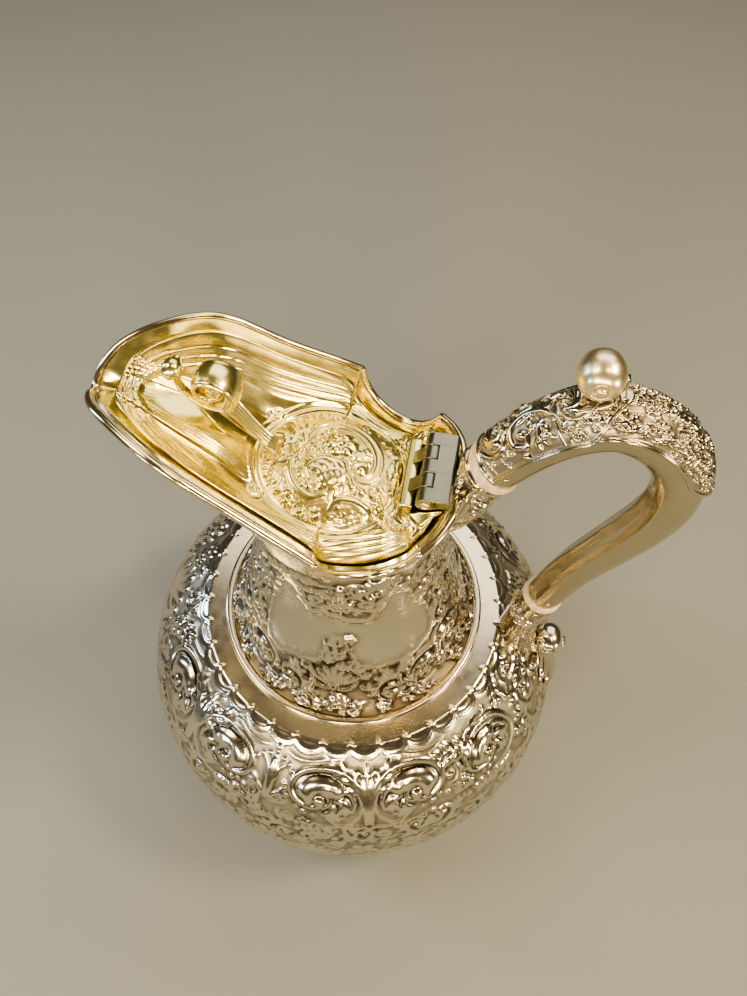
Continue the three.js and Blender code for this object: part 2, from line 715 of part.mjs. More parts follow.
// Point on the lid's upper face: k counts round the outline, share runs from the middle to the edge.
function lidPoint(k, share, lift) {
  const lower = Math.floor(k);
  const p = lidOutline[lower % rimCount].clone().lerp(lidOutline[(lower + 1) % rimCount], k - lower);
  const x = THREE.MathUtils.lerp(lidMiddle, p.x, share);
  const y = p.y * share;
  const dish = THREE.MathUtils.lerp(centreHeight(x), p.z, share ** 2.4);
  const domeShare = Math.hypot((x - domeCentre) / (domeLength / 2), y / (domeWidth / 2));
  const dome = domeHeight * Math.max(1 - domeShare ** 2, 0) ** 0.7;
  const onRidge = x < domeCentre - domeLength / 2 && share < 0.9;
  const ridgeShare = THREE.MathUtils.smoothstep(ridgeHalfWidth + 1 - Math.abs(y), 0, 1.5);
  const ridge = onRidge ? ridgeHeight * ridgeShare : 0;
  return vec(x, y, dish + dome + ridge + lift);
}

const lidShares = [0.08, 0.2, 0.32, 0.44, 0.54, 0.64, 0.74, 0.84, 0.92, 1];
const everyPoint = Array.from({ length: rimCount }, (_, k) => k);

function lidPlate() {
  const upper = lidShares.map((share) => everyPoint.map((k) => lidPoint(k, share, 0)));
  const lower = lidShares.map((share) => everyPoint.map((k) => lidPoint(k, share, -lidSheet)));
  return skin([...upper, ...lower.reverse()], false);
}

// Reeded border laid along one side of the lid, from the front corner to the hinge; side is 1 or -1 along Y.
function lidBorder(side) {
  const firstStep = lidHalf.findIndex((p) => p.y > frontLeafHalfWidth + seatGap);
  const endStep = lidHalf.findIndex((p) => p.x > hingeReach - 1);
  const outer = 0.985;
  const inner = outer - borderWidth;
  const ribs = [[outer, 0.8], [outer - borderWidth * 0.45, 1], [inner, 0.45]];
  const loops = [];
  for (let k = firstStep; k < endStep; k += 1) {
    const place = (side * k + rimCount) % rimCount;
    const top = ribs.map(([share, lift]) => lidPoint(place, share, seatGap + borderThickness * lift));
    const bottom = ribs.map(([share]) => lidPoint(place, share, seatGap)).reverse();
    loops.push([...top, ...bottom]);
  }
  return skin(loops, false, true);
}

// Leaf of the lid's hinge: a plate in front of the knuckles and the even knuckles.
function lidHingeLeaf() {
  const plateBack = lidRearReach + 0.4;
  const plateFront = plateBack - hingePlateDepth;
  const plateBottom = lidRearHeight + seatGap;
  const plateTop = hingeHeight - 1.6;
  let solid = toSolid(block(plateFront, plateBack, -hingeHalfLength, hingeHalfLength, plateBottom, plateTop));
  knuckleSpans.filter((_, i) => i % 2 === 1).forEach(([from, to]) => {
    solid = solid.add(toSolid(rodAlongY(knuckleRadius, from, to, hingeReach, hingeHeight, smallSides)));
    solid = solid.add(toSolid(block(plateBack - 1, hingeReach, from, to, plateBottom + 0.6, hingeHeight)));
  });
  return closed(toGeometry(solid.subtract(pinBore())));
}

// Flat band bent in the plane of symmetry: points are [x, z], with its width along Y.
function bentBand(points, widthAt, thickness, steps) {
  const curve = new THREE.CatmullRomCurve3(points.map(([x, z]) => vec(x, 0, z)));
  const line = curve.getSpacedPoints(steps);
  const across = vec(0, 1, 0);
  return skin(sweptLoops(line, (p, along, i) => {
    const half = widthAt(i / steps) / 2;
    const out = along.clone().cross(across).multiplyScalar(thickness / 2);
    const corners = [[half, 1], [-half, 1], [-half, -1], [half, -1]];
    return corners.map(([y, s]) => p.clone().addScaledVector(out, s).addScaledVector(across, y));
  }, false), false);
}

// Flying scroll of the lid: coil over the ridge, strap down to the front edge of the dome.
const scrollCentreReach = lidFrontReach - scrollSetback;
const scrollCentreHeight = centreHeight(-scrollCentreReach) + scrollRise;

function lidScroll() {
  const coil = [];
  const coilSteps = 14;
  for (let i = 0; i <= coilSteps; i += 1) {
    const share = i / coilSteps;
    const angle = THREE.MathUtils.degToRad(THREE.MathUtils.lerp(-170, 240, share));
    const radius = THREE.MathUtils.lerp(scrollRadius * 0.36, scrollRadius - scrollThickness / 2, share);
    coil.push([-scrollCentreReach - radius * Math.cos(angle), scrollCentreHeight + radius * Math.sin(angle)]);
  }
  const footReach = domeCentre - domeLength / 2 + 1;
  const footHeightOnLid = lidHeight(footReach + 3.6, 0);
  const strap = [
    [footReach - 4.5, scrollCentreHeight - scrollRadius * 1.53],
    [footReach + 1.2, footHeightOnLid + scrollThickness * 2.3],
    [footReach + 3.6, footHeightOnLid + scrollThickness * 0.8],
  ];
  const band = toSolid(bentBand([...coil, ...strap], () => scrollWidth, scrollThickness, 40));
  return closed(toGeometry(largest(band.subtract(lidRoom(seatGap)))));
}

// Small curled prop in front of the scroll, ending in a bud.
function lidScrollProp() {
  const budReach = -scrollCentreReach - budForward;
  const budHeight = scrollCentreHeight + budRise;
  const onLid = (forward, lift) => {
    const reach = -scrollCentreReach - budForward * forward;
    return [reach, lidHeight(reach, 0) + seatGap + propThickness * lift];
  };
  const props = [
    onLid(-0.22, 0.64),
    onLid(0.44, 0.64),
    onLid(0.82, 1.93),
    [budReach - budRadius * 0.1, scrollCentreHeight - budRadius * 1.3],
    [budReach, budHeight - budRadius * 0.4],
  ];
  const widthAt = (share) => THREE.MathUtils.lerp(propWidth, budRadius, share);
  const strand = bentBand(props, widthAt, propThickness, 14);
  const bud = new THREE.SphereGeometry(budRadius, 12, 8);
  bud.translate(budReach, 0, budHeight);
  return closed(toGeometry(largest(toSolid(strand).add(toSolid(bud)).subtract(lidRoom(seatGap)))));
}

// Height of the lid's upper face over a point of the ground plan.
const lidMesh = new THREE.Mesh(lidPlate());
const plumbLine = new THREE.Raycaster();

function lidHeight(x, y) {
  plumbLine.set(vec(x, y, crestHeight + domeHeight), vec(0, 0, -1));
  const [hit] = plumbLine.intersectObject(lidMesh);
  return hit ? hit.point.z : centreHeight(x);
}

// The lid as a thick block, lifted by a clearance, for trimming what sits on it.
function lidRoom(clearance) {
  const upper = lidShares.map((share) => everyPoint.map((k) => lidPoint(k, share, clearance)));
  const lower = lidShares.map((share) => everyPoint.map((k) => lidPoint(k, share, -domeHeight * 2)));
  return toSolid(skin([...upper, ...lower.reverse()], false));
}

// Leaf at the front edge of the lid, laid on the ridge.
function lidFrontLeaf() {
  const steps = 10;
  const loops = [];
  for (let i = 0; i <= steps; i += 1) {
    const share = i / steps;
    const x = -lidFrontReach + 2 + frontLeafLength * share;
    const lobes = 0.86 + 0.14 * Math.cos(share * Math.PI * 6);
    const half = (0.17 + 0.83 * Math.sin(Math.PI * (0.2 + 0.78 * share))) * lobes * frontLeafHalfWidth;
    const across = [1, 0.5, 0, -0.5, -1].map((s) => s * half);
    const bulge = (y) => frontLeafThickness * (1 - 0.4 * Math.abs(y) / half);
    const top = across.map((y) => vec(x, y, lidHeight(x, y) + frontLeafLift + bulge(y)));
    const bottom = across.map((y) => vec(x, y, lidHeight(x, y) + frontLeafLift)).reverse();
    loops.push([...top, ...bottom]);
  }
  return skin(loops, false, true);
}

// Handle centre line in the plane of symmetry: upper joint, crown, bend and lower joint.
const upperJoint = vec(rimBackReach + upperJointRun, 0, rimBackHeight + upperJointRise);
const crown = vec(upperJoint.x + crownRun, 0, upperJoint.z + crownRise);
const lowerJoint = vec(shoulderRadius + lowerJointRun, 0, shoulderHeight + lowerJointRise);
const bend = vec(bendReach, 0, lowerJoint.z + bendRise);
const partWay = (from, to, shares) => shares.map(([across, up]) => vec(
  THREE.MathUtils.lerp(from.x, to.x, across),
  0,
  THREE.MathUtils.lerp(from.z, to.z, up),
));
const handleLine = new THREE.CatmullRomCurve3([
  upperJoint,
  ...partWay(upperJoint, crown, [[0.367, 0.56], [0.677, 0.862]]),
  crown,
  ...partWay(crown, bend, [[0.36, 0.07], [0.716, 0.298], [0.933, 0.628]]),
  bend,
  ...partWay(bend, lowerJoint, [[0.117, 0.183], [0.372, 0.389], [0.722, 0.667]]),
  lowerJoint,
], false, 'centripetal');
const handleSteps = 24;
const acrossY = vec(0, 1, 0);

function handleDiameter(share) {
  const toCrown = THREE.MathUtils.smoothstep(share, 0, 0.25);
  const toBend = THREE.MathUtils.smoothstep(share, 0.25, 0.5);
  const toEnd = THREE.MathUtils.smoothstep(share, 0.55, 0.95);
  const crown = THREE.MathUtils.lerp(handleStartDiameter, handleCrownDiameter, toCrown);
  const bend = THREE.MathUtils.lerp(crown, handleBendDiameter, toBend);
  return THREE.MathUtils.lerp(bend, handleEndDiameter, toEnd);
}

function handleLoops(shrink, from, to, steps) {
  return Array.from({ length: steps + 1 }, (_, i) => {
    const share = THREE.MathUtils.lerp(from, to, i / steps);
    const p = handleLine.getPointAt(share);
    const along = handleLine.getTangentAt(share);
    return roundSection(handleDiameter(share) / 2 - shrink, smallSides, acrossY)(p, along);
  });
}

function crossPinAt(centre, radius, halfLength) {
  return rodAlongY(radius, -halfLength, halfLength, centre.x, centre.z, 12);
}

const startPoint = handleLine.getPointAt(0);
const startTangent = handleLine.getTangentAt(0);
const endPoint = handleLine.getPointAt(1);
const endTangent = handleLine.getTangentAt(1);
const insulatorStep = insulatorThickness / 2 + seatGap;
const upperDisc = startPoint.clone().addScaledVector(startTangent, -insulatorStep);
const lowerDisc = endPoint.clone().addScaledVector(endTangent, insulatorStep);
const fromUpperDisc = (distance) => upperDisc.clone().addScaledVector(startTangent, distance);
const fromLowerDisc = (distance) => lowerDisc.clone().addScaledVector(endTangent, distance);
const pinDistance = insulatorThickness / 2 + crossPinSetback;

function handleLoop() {
  const outside = handleLoops(0, 0, 1, handleSteps);
  const inside = handleLoops(handleWall, 0, 1, handleSteps).reverse();
  const holes = [fromUpperDisc(pinDistance), fromLowerDisc(-pinDistance)].map((centre) =>
    toSolid(crossPinAt(centre, crossPinRadius + seatGap, handleCrownDiameter)));
  const tube = toSolid(skin([...outside, ...inside], true));
  return closed(toGeometry(tube.subtract(holes[0]).subtract(holes[1])));
}

// Disc with a tenon on each side, drilled for its two cross pins.
function insulator(centre, along, handleEnd, socketBore) {
  const disc = (radius, from, to) => {
    const ends = [centre.clone().addScaledVector(along, from), centre.clone().addScaledVector(along, to)];
    return toSolid(skin(ends.map((p) => roundSection(radius, smallSides, acrossY)(p, along)), false));
  };
  const half = insulatorThickness / 2;
  const tenon = handleEnd / 2 - handleWall - seatGap;
  const reach = half + tenonLength;
  let solid = disc(handleEnd / 2 + insulatorProud, -half, half);
  solid = solid.add(disc(tenon, -0.1, reach)).add(disc(socketBore - seatGap, -reach, 0.1));
  [pinDistance, -pinDistance].forEach((distance) => {
    const place = centre.clone().addScaledVector(along, distance);
    solid = solid.subtract(toSolid(crossPinAt(place, crossPinRadius + seatGap, handleEnd)));
  });
  return closed(toGeometry(solid));
}

function crossPin(centre, diameter) {
  return closed(crossPinAt(centre, crossPinRadius, diameter / 2));
}

// Overlay on the outer side of the handle, between two shares of its length.
function handleOverlay(from, to, steps, endTaper) {
  const loops = [];
  const corners = 6;
  for (let i = 0; i <= steps; i += 1) {
    const step = i / steps;
    const share = THREE.MathUtils.lerp(from, to, step);
    const p = handleLine.getPointAt(share);
    const along = handleLine.getTangentAt(share);
    const outward = acrossY.clone().cross(along).negate();
    const taper = 1 - endTaper * step ** 3;
    const inner = handleDiameter(share) / 2 + seatGap;
    const arc = (radius, s) => {
      const angle = THREE.MathUtils.degToRad(overlayHalfAngle * taper * s);
      return p.clone()
        .addScaledVector(outward, radius * Math.cos(angle))
        .addScaledVector(acrossY, radius * Math.sin(angle));
    };
    const shares = Array.from({ length: corners + 1 }, (_, j) => 1 - (2 * j) / corners);
    const outerArc = shares.map((s) => arc(inner + overlayThickness * (1 - 0.35 * Math.abs(s)), s));
    const innerArc = shares.map((s) => arc(inner, s)).reverse();
    loops.push([...outerArc, ...innerArc]);
  }
  return skin(loops, false, true);
}

const leafEnd = 0.235;

// Rolled end of the leaf: an egg-shaped ball for the thumb on a short curl.
function thumbVolute() {
  const rootShare = leafEnd + 0.02;
  const root = handleLine.getPointAt(rootShare);
  const outward = acrossY.clone().cross(handleLine.getTangentAt(rootShare)).negate();
  const rootRadius = handleDiameter(rootShare) / 2 + seatGap * 4 + overlayThickness;
  const foot = root.clone().addScaledVector(outward, rootRadius);
  const ball = vec(crown.x - thumbBallForward, 0, crown.z + thumbBallRise);
  const curl = bentBand([
    [foot.x - ballRadius, foot.z - 0.2],
    [foot.x, foot.z + 0.2],
    [ball.x + ballRadius * 1.15, ball.z - ballRadius * 0.7],
    [ball.x + ballRadius * 0.8, ball.z + ballRadius * 0.3],
  ], (share) => ballRadius * THREE.MathUtils.lerp(1.9, 1.2, share), ballRadius * 0.44, 8);
  const egg = new THREE.SphereGeometry(ballRadius, smallSides, 12);
  egg.scale(1, 1.12, 1);
  egg.translate(ball.x, ball.y, ball.z);
  const stemTop = ball.clone().add(vec(0.6, 0, -ballRadius * 0.5));
  const stemFoot = vec(ball.x + 1.6, 0, foot.z - 1.4);
  const stemRadius = (i) => ballRadius * (i === 0 ? 0.64 : 0.76);
  const stem = skin(
    [stemFoot, stemTop].map((p, i) => roundSection(stemRadius(i), 12, acrossY)(p, vec(0, 0, 1))),
    false,
  );
  return closed(toGeometry(toSolid(curl).add(toSolid(egg)).add(toSolid(stem)).subtract(handleRoom())));
}

// Room kept free round the handle and its leaf.
function handleRoom() {
  const clearance = seatGap * 3 + overlayThickness;
  return toSolid(skin(handleLoops(-clearance, 0.05, 0.6, handleSteps), false));
}

// Socket swept along a line that starts at an insulator; its radius changes from point to point.
function socketBlock(points, direction, radiusAt) {
  const loops = sweptLoops(points, (p, along, i) => {
    const radius = radiusAt(i / (points.length - 1));
    return roundSection(radius, smallSides, acrossY)(p, i === 0 ? direction : along);
  }, false);
  return toSolid(skin(loops, false));
}

// Bore for a tenon, from a point beyond the insulator down into the socket.
function tenonBore(radius, ends, along) {
  return toSolid(skin(ends.map((p) => roundSection(radius, smallSides, acrossY)(p, along)), false));
}

// Upper socket from the back of the mouth to the insulator, bored for the tenon.
const boreDepth = insulatorThickness / 2 + tenonLength + 1;
const upperSocketBore = handleStartDiameter / 2 - handleWall - seatGap * 2;
function upperSocket() {
  const top = fromUpperDisc(-insulatorThickness / 2 - seatGap);
  const points = new THREE.CatmullRomCurve3([
    top,
    top.clone().addScaledVector(startTangent, -tenonLength * 0.62),
    vec(rimBackReach - 0.1, 0, rimBackHeight - upperJointRise * 0.61),
    vec(rimBackReach - 5.6, 0, rimBackHeight - upperJointRise * 1.6),
  ]).getSpacedPoints(8);
  const proud = (share) => THREE.MathUtils.lerp(socketProud, upperSocketSpread, share);
  const radiusAt = (share) => handleStartDiameter / 2 + proud(share);
  const hingeSpace = block(
    hingeReach - knuckleRadius * 1.5,
    blockReach + seatGap,
    -hingeHalfLength - 1,
    hingeHalfLength + 1,
    rimBackHeight - 1,
    hingeHeight + knuckleRadius * 3,
  );
  const pinHole = crossPinAt(fromUpperDisc(-pinDistance), crossPinRadius + seatGap, handleStartDiameter);
  const solid = socketBlock(points, startTangent.clone().negate(), radiusAt)
    .subtract(tenonBore(upperSocketBore, [fromUpperDisc(2), fromUpperDisc(-boreDepth)], startTangent))
    .subtract(mouthEnvelope(seatGap))
    .subtract(toSolid(rimWire(seatGap)))
    .subtract(toSolid(hingeSpace))
    .subtract(toSolid(pinHole));
  return closed(toGeometry(largest(solid)));
}

function largest(solid) {
  const parts = solid.decompose();
  return parts.reduce((best, part) => (part.volume() > best.volume() ? part : best));
}

// Lower socket from the lower insulator down to the shoulder of the body, swollen by a clearance.
const lowerSocketBore = handleEndDiameter / 2 - handleWall - seatGap;
function lowerSocketBlock(clearance) {
  const top = fromLowerDisc(insulatorThickness / 2 + seatGap);
  const foot = vec(shoulderRadius + lowerSocketRun, 0, shoulderHeight);
  const points = new THREE.CatmullRomCurve3([
    top,
    top.clone().addScaledVector(endTangent, tenonLength * 0.75),
    vec(foot.x, 0, foot.z + tenonLength),
    vec(foot.x, 0, foot.z - 1),
    vec(foot.x + 0.8, 0, foot.z - tenonLength - 1),
  ]).getSpacedPoints(10);
  const topRadius = handleEndDiameter / 2 + socketProud + clearance;
  const radiusAt = (share) => topRadius + lowerSocketSpread * share ** 3;
  return socketBlock(points, endTangent, radiusAt);
}

function lowerSocket() {
  const solid = lowerSocketBlock(0)
    .subtract(tenonBore(lowerSocketBore, [fromLowerDisc(-2), fromLowerDisc(boreDepth)], endTangent))
    .subtract(bodyEnvelope(seatGap))
    .subtract(toSolid(crossPinAt(fromLowerDisc(pinDistance), crossPinRadius + seatGap, handleEndDiameter)));
  return closed(toGeometry(largest(solid)));
}

// Outward scroll below the lower socket, ending in a ball.
function lowerScroll() {
  const ball = new THREE.SphereGeometry(ballRadius, smallSides, 12);
  ball.translate(lowerBallReach, 0, lowerBallHeight);
  const fromBall = ([out, up]) => [lowerBallReach + ballRadius * out, lowerBallHeight + ballRadius * up];
  const curlPoints = [[-1.72, 4.9], [-1, 3.3], [-0.12, 2.2], [0.76, 1.3], [0.7, 0.4]].map(fromBall);
  const rootPoints = [[-1.92, -0.7], [-1.22, -0.5], [0, -0.2]].map(fromBall);
  const curl = bentBand(curlPoints, () => ballRadius * 1.4, ballRadius * 0.48, 10);
  const root = bentBand(rootPoints, () => ballRadius * 1.1, ballRadius * 0.72, 6);
  const solid = toSolid(ball)
    .add(toSolid(curl))
    .add(toSolid(root))
    .subtract(lowerSocketBlock(seatGap))
    .subtract(bodyEnvelope(seatGap * 2 + overlayThickness));
  return closed(toGeometry(largest(solid)));
}

// Leaf plate that lies on the shoulder outside the lower socket.
function dropLeaf() {
  const steps = 9;
  const loops = [];
  const line = bulgeArc(shoulderRadius, shoulderHeight, upperFullness, 60).reverse();
  for (let i = 0; i <= steps; i += 1) {
    const share = i / steps;
    const height = shoulderHeight - dropLeafTop - dropLeafLength * share;
    const after = Math.max(line.findIndex((p) => p[1] <= height), 1);
    const [upper, lower] = [line[after - 1], line[after]];
    const slope = vec(lower[0] - upper[0], 0, lower[1] - upper[1]).normalize();
    const radius = THREE.MathUtils.lerp(upper[0], lower[0], (upper[1] - height) / (upper[1] - lower[1]));
    const outward = vec(-slope.z, 0, slope.x);
    const lobes = 1 + 0.12 * Math.cos(share * Math.PI * 7);
    const half = dropLeafHalfWidth * Math.sin(Math.PI * (0.32 + 0.66 * share)) * lobes + 0.8;
    const across = [1, 0.5, 0, -0.5, -1].map((s) => s * half);
    const onBody = (y, lift) => {
      const angle = y / radius;
      const reach = radius + outward.x * lift;
      return vec(reach * Math.cos(angle), reach * Math.sin(angle), height + outward.z * lift);
    };
    const top = across.map((y) => onBody(y, seatGap + overlayThickness * (1.2 - 0.6 * Math.abs(y) / half)));
    const bottom = across.map((y) => onBody(y, seatGap)).reverse();
    loops.push([...top, ...bottom]);
  }
  return skin(loops, false, true);
}

const backAlongEnd = endTangent.clone().negate();
const upperInsulator = insulator(upperDisc, startTangent, handleStartDiameter, upperSocketBore);
const lowerInsulator = insulator(lowerDisc, backAlongEnd, handleEndDiameter, lowerSocketBore);

addPiece('foot_ring', footRing(), silver());
addPiece('body_bowl', bodyBowl(), silver());
addPiece('neck_ring', neckRing(), silver());
addPiece('neck_and_mouth', neckAndMouth(), silver());
addPiece('rim_wire', rimWire(0), silver());
addPiece('hinge_block', hingeBlock(), aged());
addPiece('hinge_pin', hingePin(), aged());
addPiece('upper_socket', upperSocket(), silver());
addPiece('upper_insulator', upperInsulator, ivory());
addPiece('upper_socket_pin', crossPin(fromUpperDisc(-pinDistance), handleStartDiameter), silver());
addPiece('upper_handle_pin', crossPin(fromUpperDisc(pinDistance), handleStartDiameter), silver());
addPiece('handle_loop', handleLoop(), silver());
addPiece('handle_leaf', handleOverlay(0.006, leafEnd, 10, 0.3), silver());
addPiece('thumb_volute', thumbVolute(), silver());
addPiece('handle_bend_band', handleOverlay(leafEnd + 0.045, 0.53, 12, 0.15), silver());
addPiece('lower_handle_pin', crossPin(fromLowerDisc(-pinDistance), handleEndDiameter), silver());
addPiece('lower_insulator', lowerInsulator, ivory());
addPiece('lower_socket_pin', crossPin(fromLowerDisc(pinDistance), handleEndDiameter), silver());
addPiece('lower_socket', lowerSocket(), silver());
addPiece('lower_scroll', lowerScroll(), silver());
addPiece('drop_leaf', dropLeaf(), silver());
addPiece('lid_plate', lidPlate(), gilt());
addPiece('lid_border_far', lidBorder(1), gilt());
addPiece('lid_border_near', lidBorder(-1), gilt());
addPiece('lid_hinge_leaf', lidHingeLeaf(), gilt());
addPiece('lid_front_leaf', lidFrontLeaf(), gilt());
addPiece('lid_scroll', lidScroll(), gilt());
addPiece('lid_scroll_prop', lidScrollProp(), gilt());

// The origin lies on the ground under the middle of the whole jug.
const extent = new THREE.Box3().setFromObject(jug);
jug.position.x = -(extent.min.x + extent.max.x) / 2;

export default jug;
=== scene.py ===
# %% [markdown]
# # A chased silver wine jug
# The real object is raised from silver sheet: a squat body, a conical neck that opens into a
# helmet-shaped mouth, a gilt lid on a hinge and a hollow loop handle. The handle is held between two
# cream insulating discs, so that the hand stays cool. Almost all of the body is chased, which means
# that leaves, scrolls and flowers are driven up out of the sheet and stand a millimetre or so proud.
# This lesson loads the measured solids as a frame and dresses them with finely meshed sheets whose
# relief is real geometry.

# %% Load the frame
import math
import bpy
import numpy as np
from mathutils import Matrix, Vector


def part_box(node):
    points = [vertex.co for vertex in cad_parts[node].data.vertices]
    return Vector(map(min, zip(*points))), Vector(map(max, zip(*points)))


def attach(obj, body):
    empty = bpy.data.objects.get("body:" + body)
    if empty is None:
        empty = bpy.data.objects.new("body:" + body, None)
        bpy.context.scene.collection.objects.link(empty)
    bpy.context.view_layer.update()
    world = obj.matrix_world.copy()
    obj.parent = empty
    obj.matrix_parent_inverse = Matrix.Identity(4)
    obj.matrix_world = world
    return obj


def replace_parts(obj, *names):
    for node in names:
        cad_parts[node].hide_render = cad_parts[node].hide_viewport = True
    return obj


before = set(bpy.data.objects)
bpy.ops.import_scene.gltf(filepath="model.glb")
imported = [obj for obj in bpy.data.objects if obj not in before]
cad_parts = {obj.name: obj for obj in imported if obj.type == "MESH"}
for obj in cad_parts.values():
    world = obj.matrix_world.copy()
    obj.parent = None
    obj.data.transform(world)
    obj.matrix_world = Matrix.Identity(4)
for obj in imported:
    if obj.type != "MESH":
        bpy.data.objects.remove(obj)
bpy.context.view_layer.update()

ring_low, ring_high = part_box("neck_ring")
AXIS_X = (ring_low.x + ring_high.x) / 2
MM = 0.001
print("jug axis at x =", round(AXIS_X * 1000, 2), "mm")

# %% [markdown]
# ## Colour and nodes
# Colours are picked as sRGB hex values, the way a screen shows them, and Blender calculates with
# linear light. One function turns the first into the second. Another adds a node with its settings
# and links, so that every finish below reads as a short list, and a third starts an empty material
# and hands back the place of each point on the object.

# %% Helpers for materials
def linear(hex_colour):
    channels = [int(hex_colour[i:i + 2], 16) / 255 for i in (1, 3, 5)]
    return [c / 12.92 if c <= 0.04045 else ((c + 0.055) / 1.055) ** 2.4 for c in channels] + [1.0]


def add_node(tree, kind, settings=None, links=None):
    node = tree.nodes.new(kind)
    for key, value in (settings or {}).items():
        if isinstance(key, str) and hasattr(node, key) and key not in node.inputs:
            setattr(node, key, value)
        else:
            node.inputs[key].default_value = value
    for socket, source in (links or {}).items():
        tree.links.new(source, node.inputs[socket])
    return node


def empty_material(name):
    material = bpy.data.materials.new(name)
    material.use_nodes = True
    tree = material.node_tree
    tree.nodes.clear()
    return material, tree, add_node(tree, "ShaderNodeTexCoord").outputs["Object"]


# %% [markdown]
# ## Metal finishes
# Silver is the whitest of the metals: what the eye sees is the room, slightly warmed. The raised work
# is burnished by years of polishing, and the ground between the leaves is darker: partly tarnish and
# polish that collect there, partly painted shade in the hollows beside the raised work, and the ground
# is matted with a small punch. The sheets carry two numbers at each point, `recess` and `matting`,
# written while the relief is made. The finish mixes from bright to dark with the first, which holds
# the tarnish and the painted shade, and roughens with the second. The punch marks are about 0.5 mm.

# %% One recipe for the metals
CLOUD_MM, SMEAR_MM, PUNCH_MM, PUNCH_DEPTH_MM = 22, 3.5, 0.5, 0.05
CLOUD_SHARE, HAIRLINE, PLANISHING = 0.12, 0.08, 0.08


def metal(name, bright, dark, polish, dull):
    material, tree, place = empty_material(name)
    recess = add_node(tree, "ShaderNodeAttribute", {"attribute_name": "recess"}).outputs["Fac"]
    matting = add_node(tree, "ShaderNodeAttribute", {"attribute_name": "matting"}).outputs["Fac"]
    clouds = add_node(tree, "ShaderNodeTexNoise", {"Scale": 1 / (CLOUD_MM * MM), "Detail": 4.0, "Roughness": 0.55},
                      {"Vector": place}).outputs["Fac"]
    smears = add_node(tree, "ShaderNodeTexNoise", {"Scale": 1 / (SMEAR_MM * MM), "Detail": 3.0, "Roughness": 0.6},
                      {"Vector": place}).outputs["Fac"]
    tarnish_share = add_node(tree, "ShaderNodeMapRange", {"From Min": 0.35, "From Max": 0.75, "To Min": 0.0,
                             "To Max": CLOUD_SHARE}, {"Value": clouds}).outputs["Result"]
    # recess holds tarnish and painted shade from the relief; the clouds add random tarnish on top.
    darkness = add_node(tree, "ShaderNodeMath", {"operation": "ADD", "use_clamp": True},
                        {0: recess, 1: tarnish_share})
    colour = add_node(tree, "ShaderNodeMix", {"data_type": "RGBA", 6: linear(bright), 7: linear(dark)},
                      {0: darkness.outputs[0]})
    worn = add_node(tree, "ShaderNodeMapRange", {"From Min": 0.3, "From Max": 0.8, "To Min": polish,
                    "To Max": polish + HAIRLINE}, {"Value": smears}).outputs["Result"]
    rough = add_node(tree, "ShaderNodeMix", {"data_type": "FLOAT", 3: dull}, {0: matting, 2: worn})
    punches = add_node(tree, "ShaderNodeTexVoronoi", {"Scale": 1 / (PUNCH_MM * MM), "Randomness": 0.85},
                       {"Vector": place}).outputs["Distance"]
    punched = add_node(tree, "ShaderNodeMath", {"operation": "MULTIPLY"}, {0: punches, 1: matting})
    planished = add_node(tree, "ShaderNodeMath", {"operation": "MULTIPLY_ADD", 1: PLANISHING},
                         {0: clouds, 2: punched.outputs[0]})
    bump = add_node(tree, "ShaderNodeBump", {"Strength": 0.5, "Distance": PUNCH_DEPTH_MM * MM},
                    {"Height": planished.outputs[0]})
    shader = add_node(tree, "ShaderNodeBsdfPrincipled", {"Metallic": 1.0},
                      {"Base Color": colour.outputs[2], "Roughness": rough.outputs[0], "Normal": bump.outputs[0]})
    add_node(tree, "ShaderNodeOutputMaterial", {}, {"Surface": shader.outputs[0]})
    return material


chased_silver = metal("polished_sterling_silver", "#DDD4BD", "#332C20", 0.15, 0.38)
silver_gilt = metal("fire_gilt_silver", "#FAEDA0", "#B8963F", 0.2, 0.34)
pale_gilt = metal("worn_gilt_rim", "#F0E2BC", "#8A6A34", 0.13, 0.3)
hinge_silver = metal("filed_hinge_silver", "#83857A", "#4A4B44", 0.27, 0.4)
# The handle is the same sterling silver as the body, its colour painted darker to stand in for the darker reflections
# on it.
handle_silver_shaded = metal("polished_handle_silver_painted_darker", "#C6BCA2", "#3A3224", 0.13, 0.34)
# The thumb piece is the same silver with a worn satin roughness, its colour painted lighter to stand in for the light
# on it.
satin_silver_lit = metal("worn_satin_silver_painted_lighter", "#F8EAC0", "#8A7448", 0.28, 0.4)
print("metal finishes:", len(bpy.data.materials))

# %% [markdown]
# ## The insulating discs
# They are cream, like old ivory or bone: dense, softly polished, a little see-through at the edge and
# with growth lines about 2.5 mm apart. The wave texture runs through 20 radians in one unit of its
# scale, so each radian of it is given 0.4 mm.

# %% Insulator finish
GROWTH_RADIAN_MM, WAVE_RADIANS = 0.4, 20


def disc_material():
    material, tree, place = empty_material("polished_cream_bone")
    grain = add_node(tree, "ShaderNodeTexWave", {"Scale": 1 / (GROWTH_RADIAN_MM * MM) / WAVE_RADIANS,
                     "Distortion": 6.0, "Detail": 3.0}, {"Vector": place}).outputs["Fac"]
    tint = add_node(tree, "ShaderNodeTexNoise", {"Scale": 1 / (4 * MM), "Detail": 4.0}, {"Vector": place})
    mixed = add_node(tree, "ShaderNodeMath", {"operation": "MULTIPLY"}, {0: grain, 1: tint.outputs["Fac"]})
    colour = add_node(tree, "ShaderNodeMix", {"data_type": "RGBA", 6: linear("#EAD9B8"), 7: linear("#C9A877")},
                      {0: mixed.outputs[0]})
    bump = add_node(tree, "ShaderNodeBump", {"Strength": 0.25, "Distance": 0.02 * MM}, {"Height": grain})
    shader = add_node(tree, "ShaderNodeBsdfPrincipled",
                      {"Roughness": 0.32, "IOR": 1.54, "Subsurface Weight": 0.12, "Subsurface Scale": 1.2 * MM},
                      {"Base Color": colour.outputs[2], "Normal": bump.outputs[0]})
    add_node(tree, "ShaderNodeOutputMaterial", {}, {"Surface": shader.outputs[0]})
    return material


cream_bone = disc_material()
print("disc finish:", cream_bone.name)
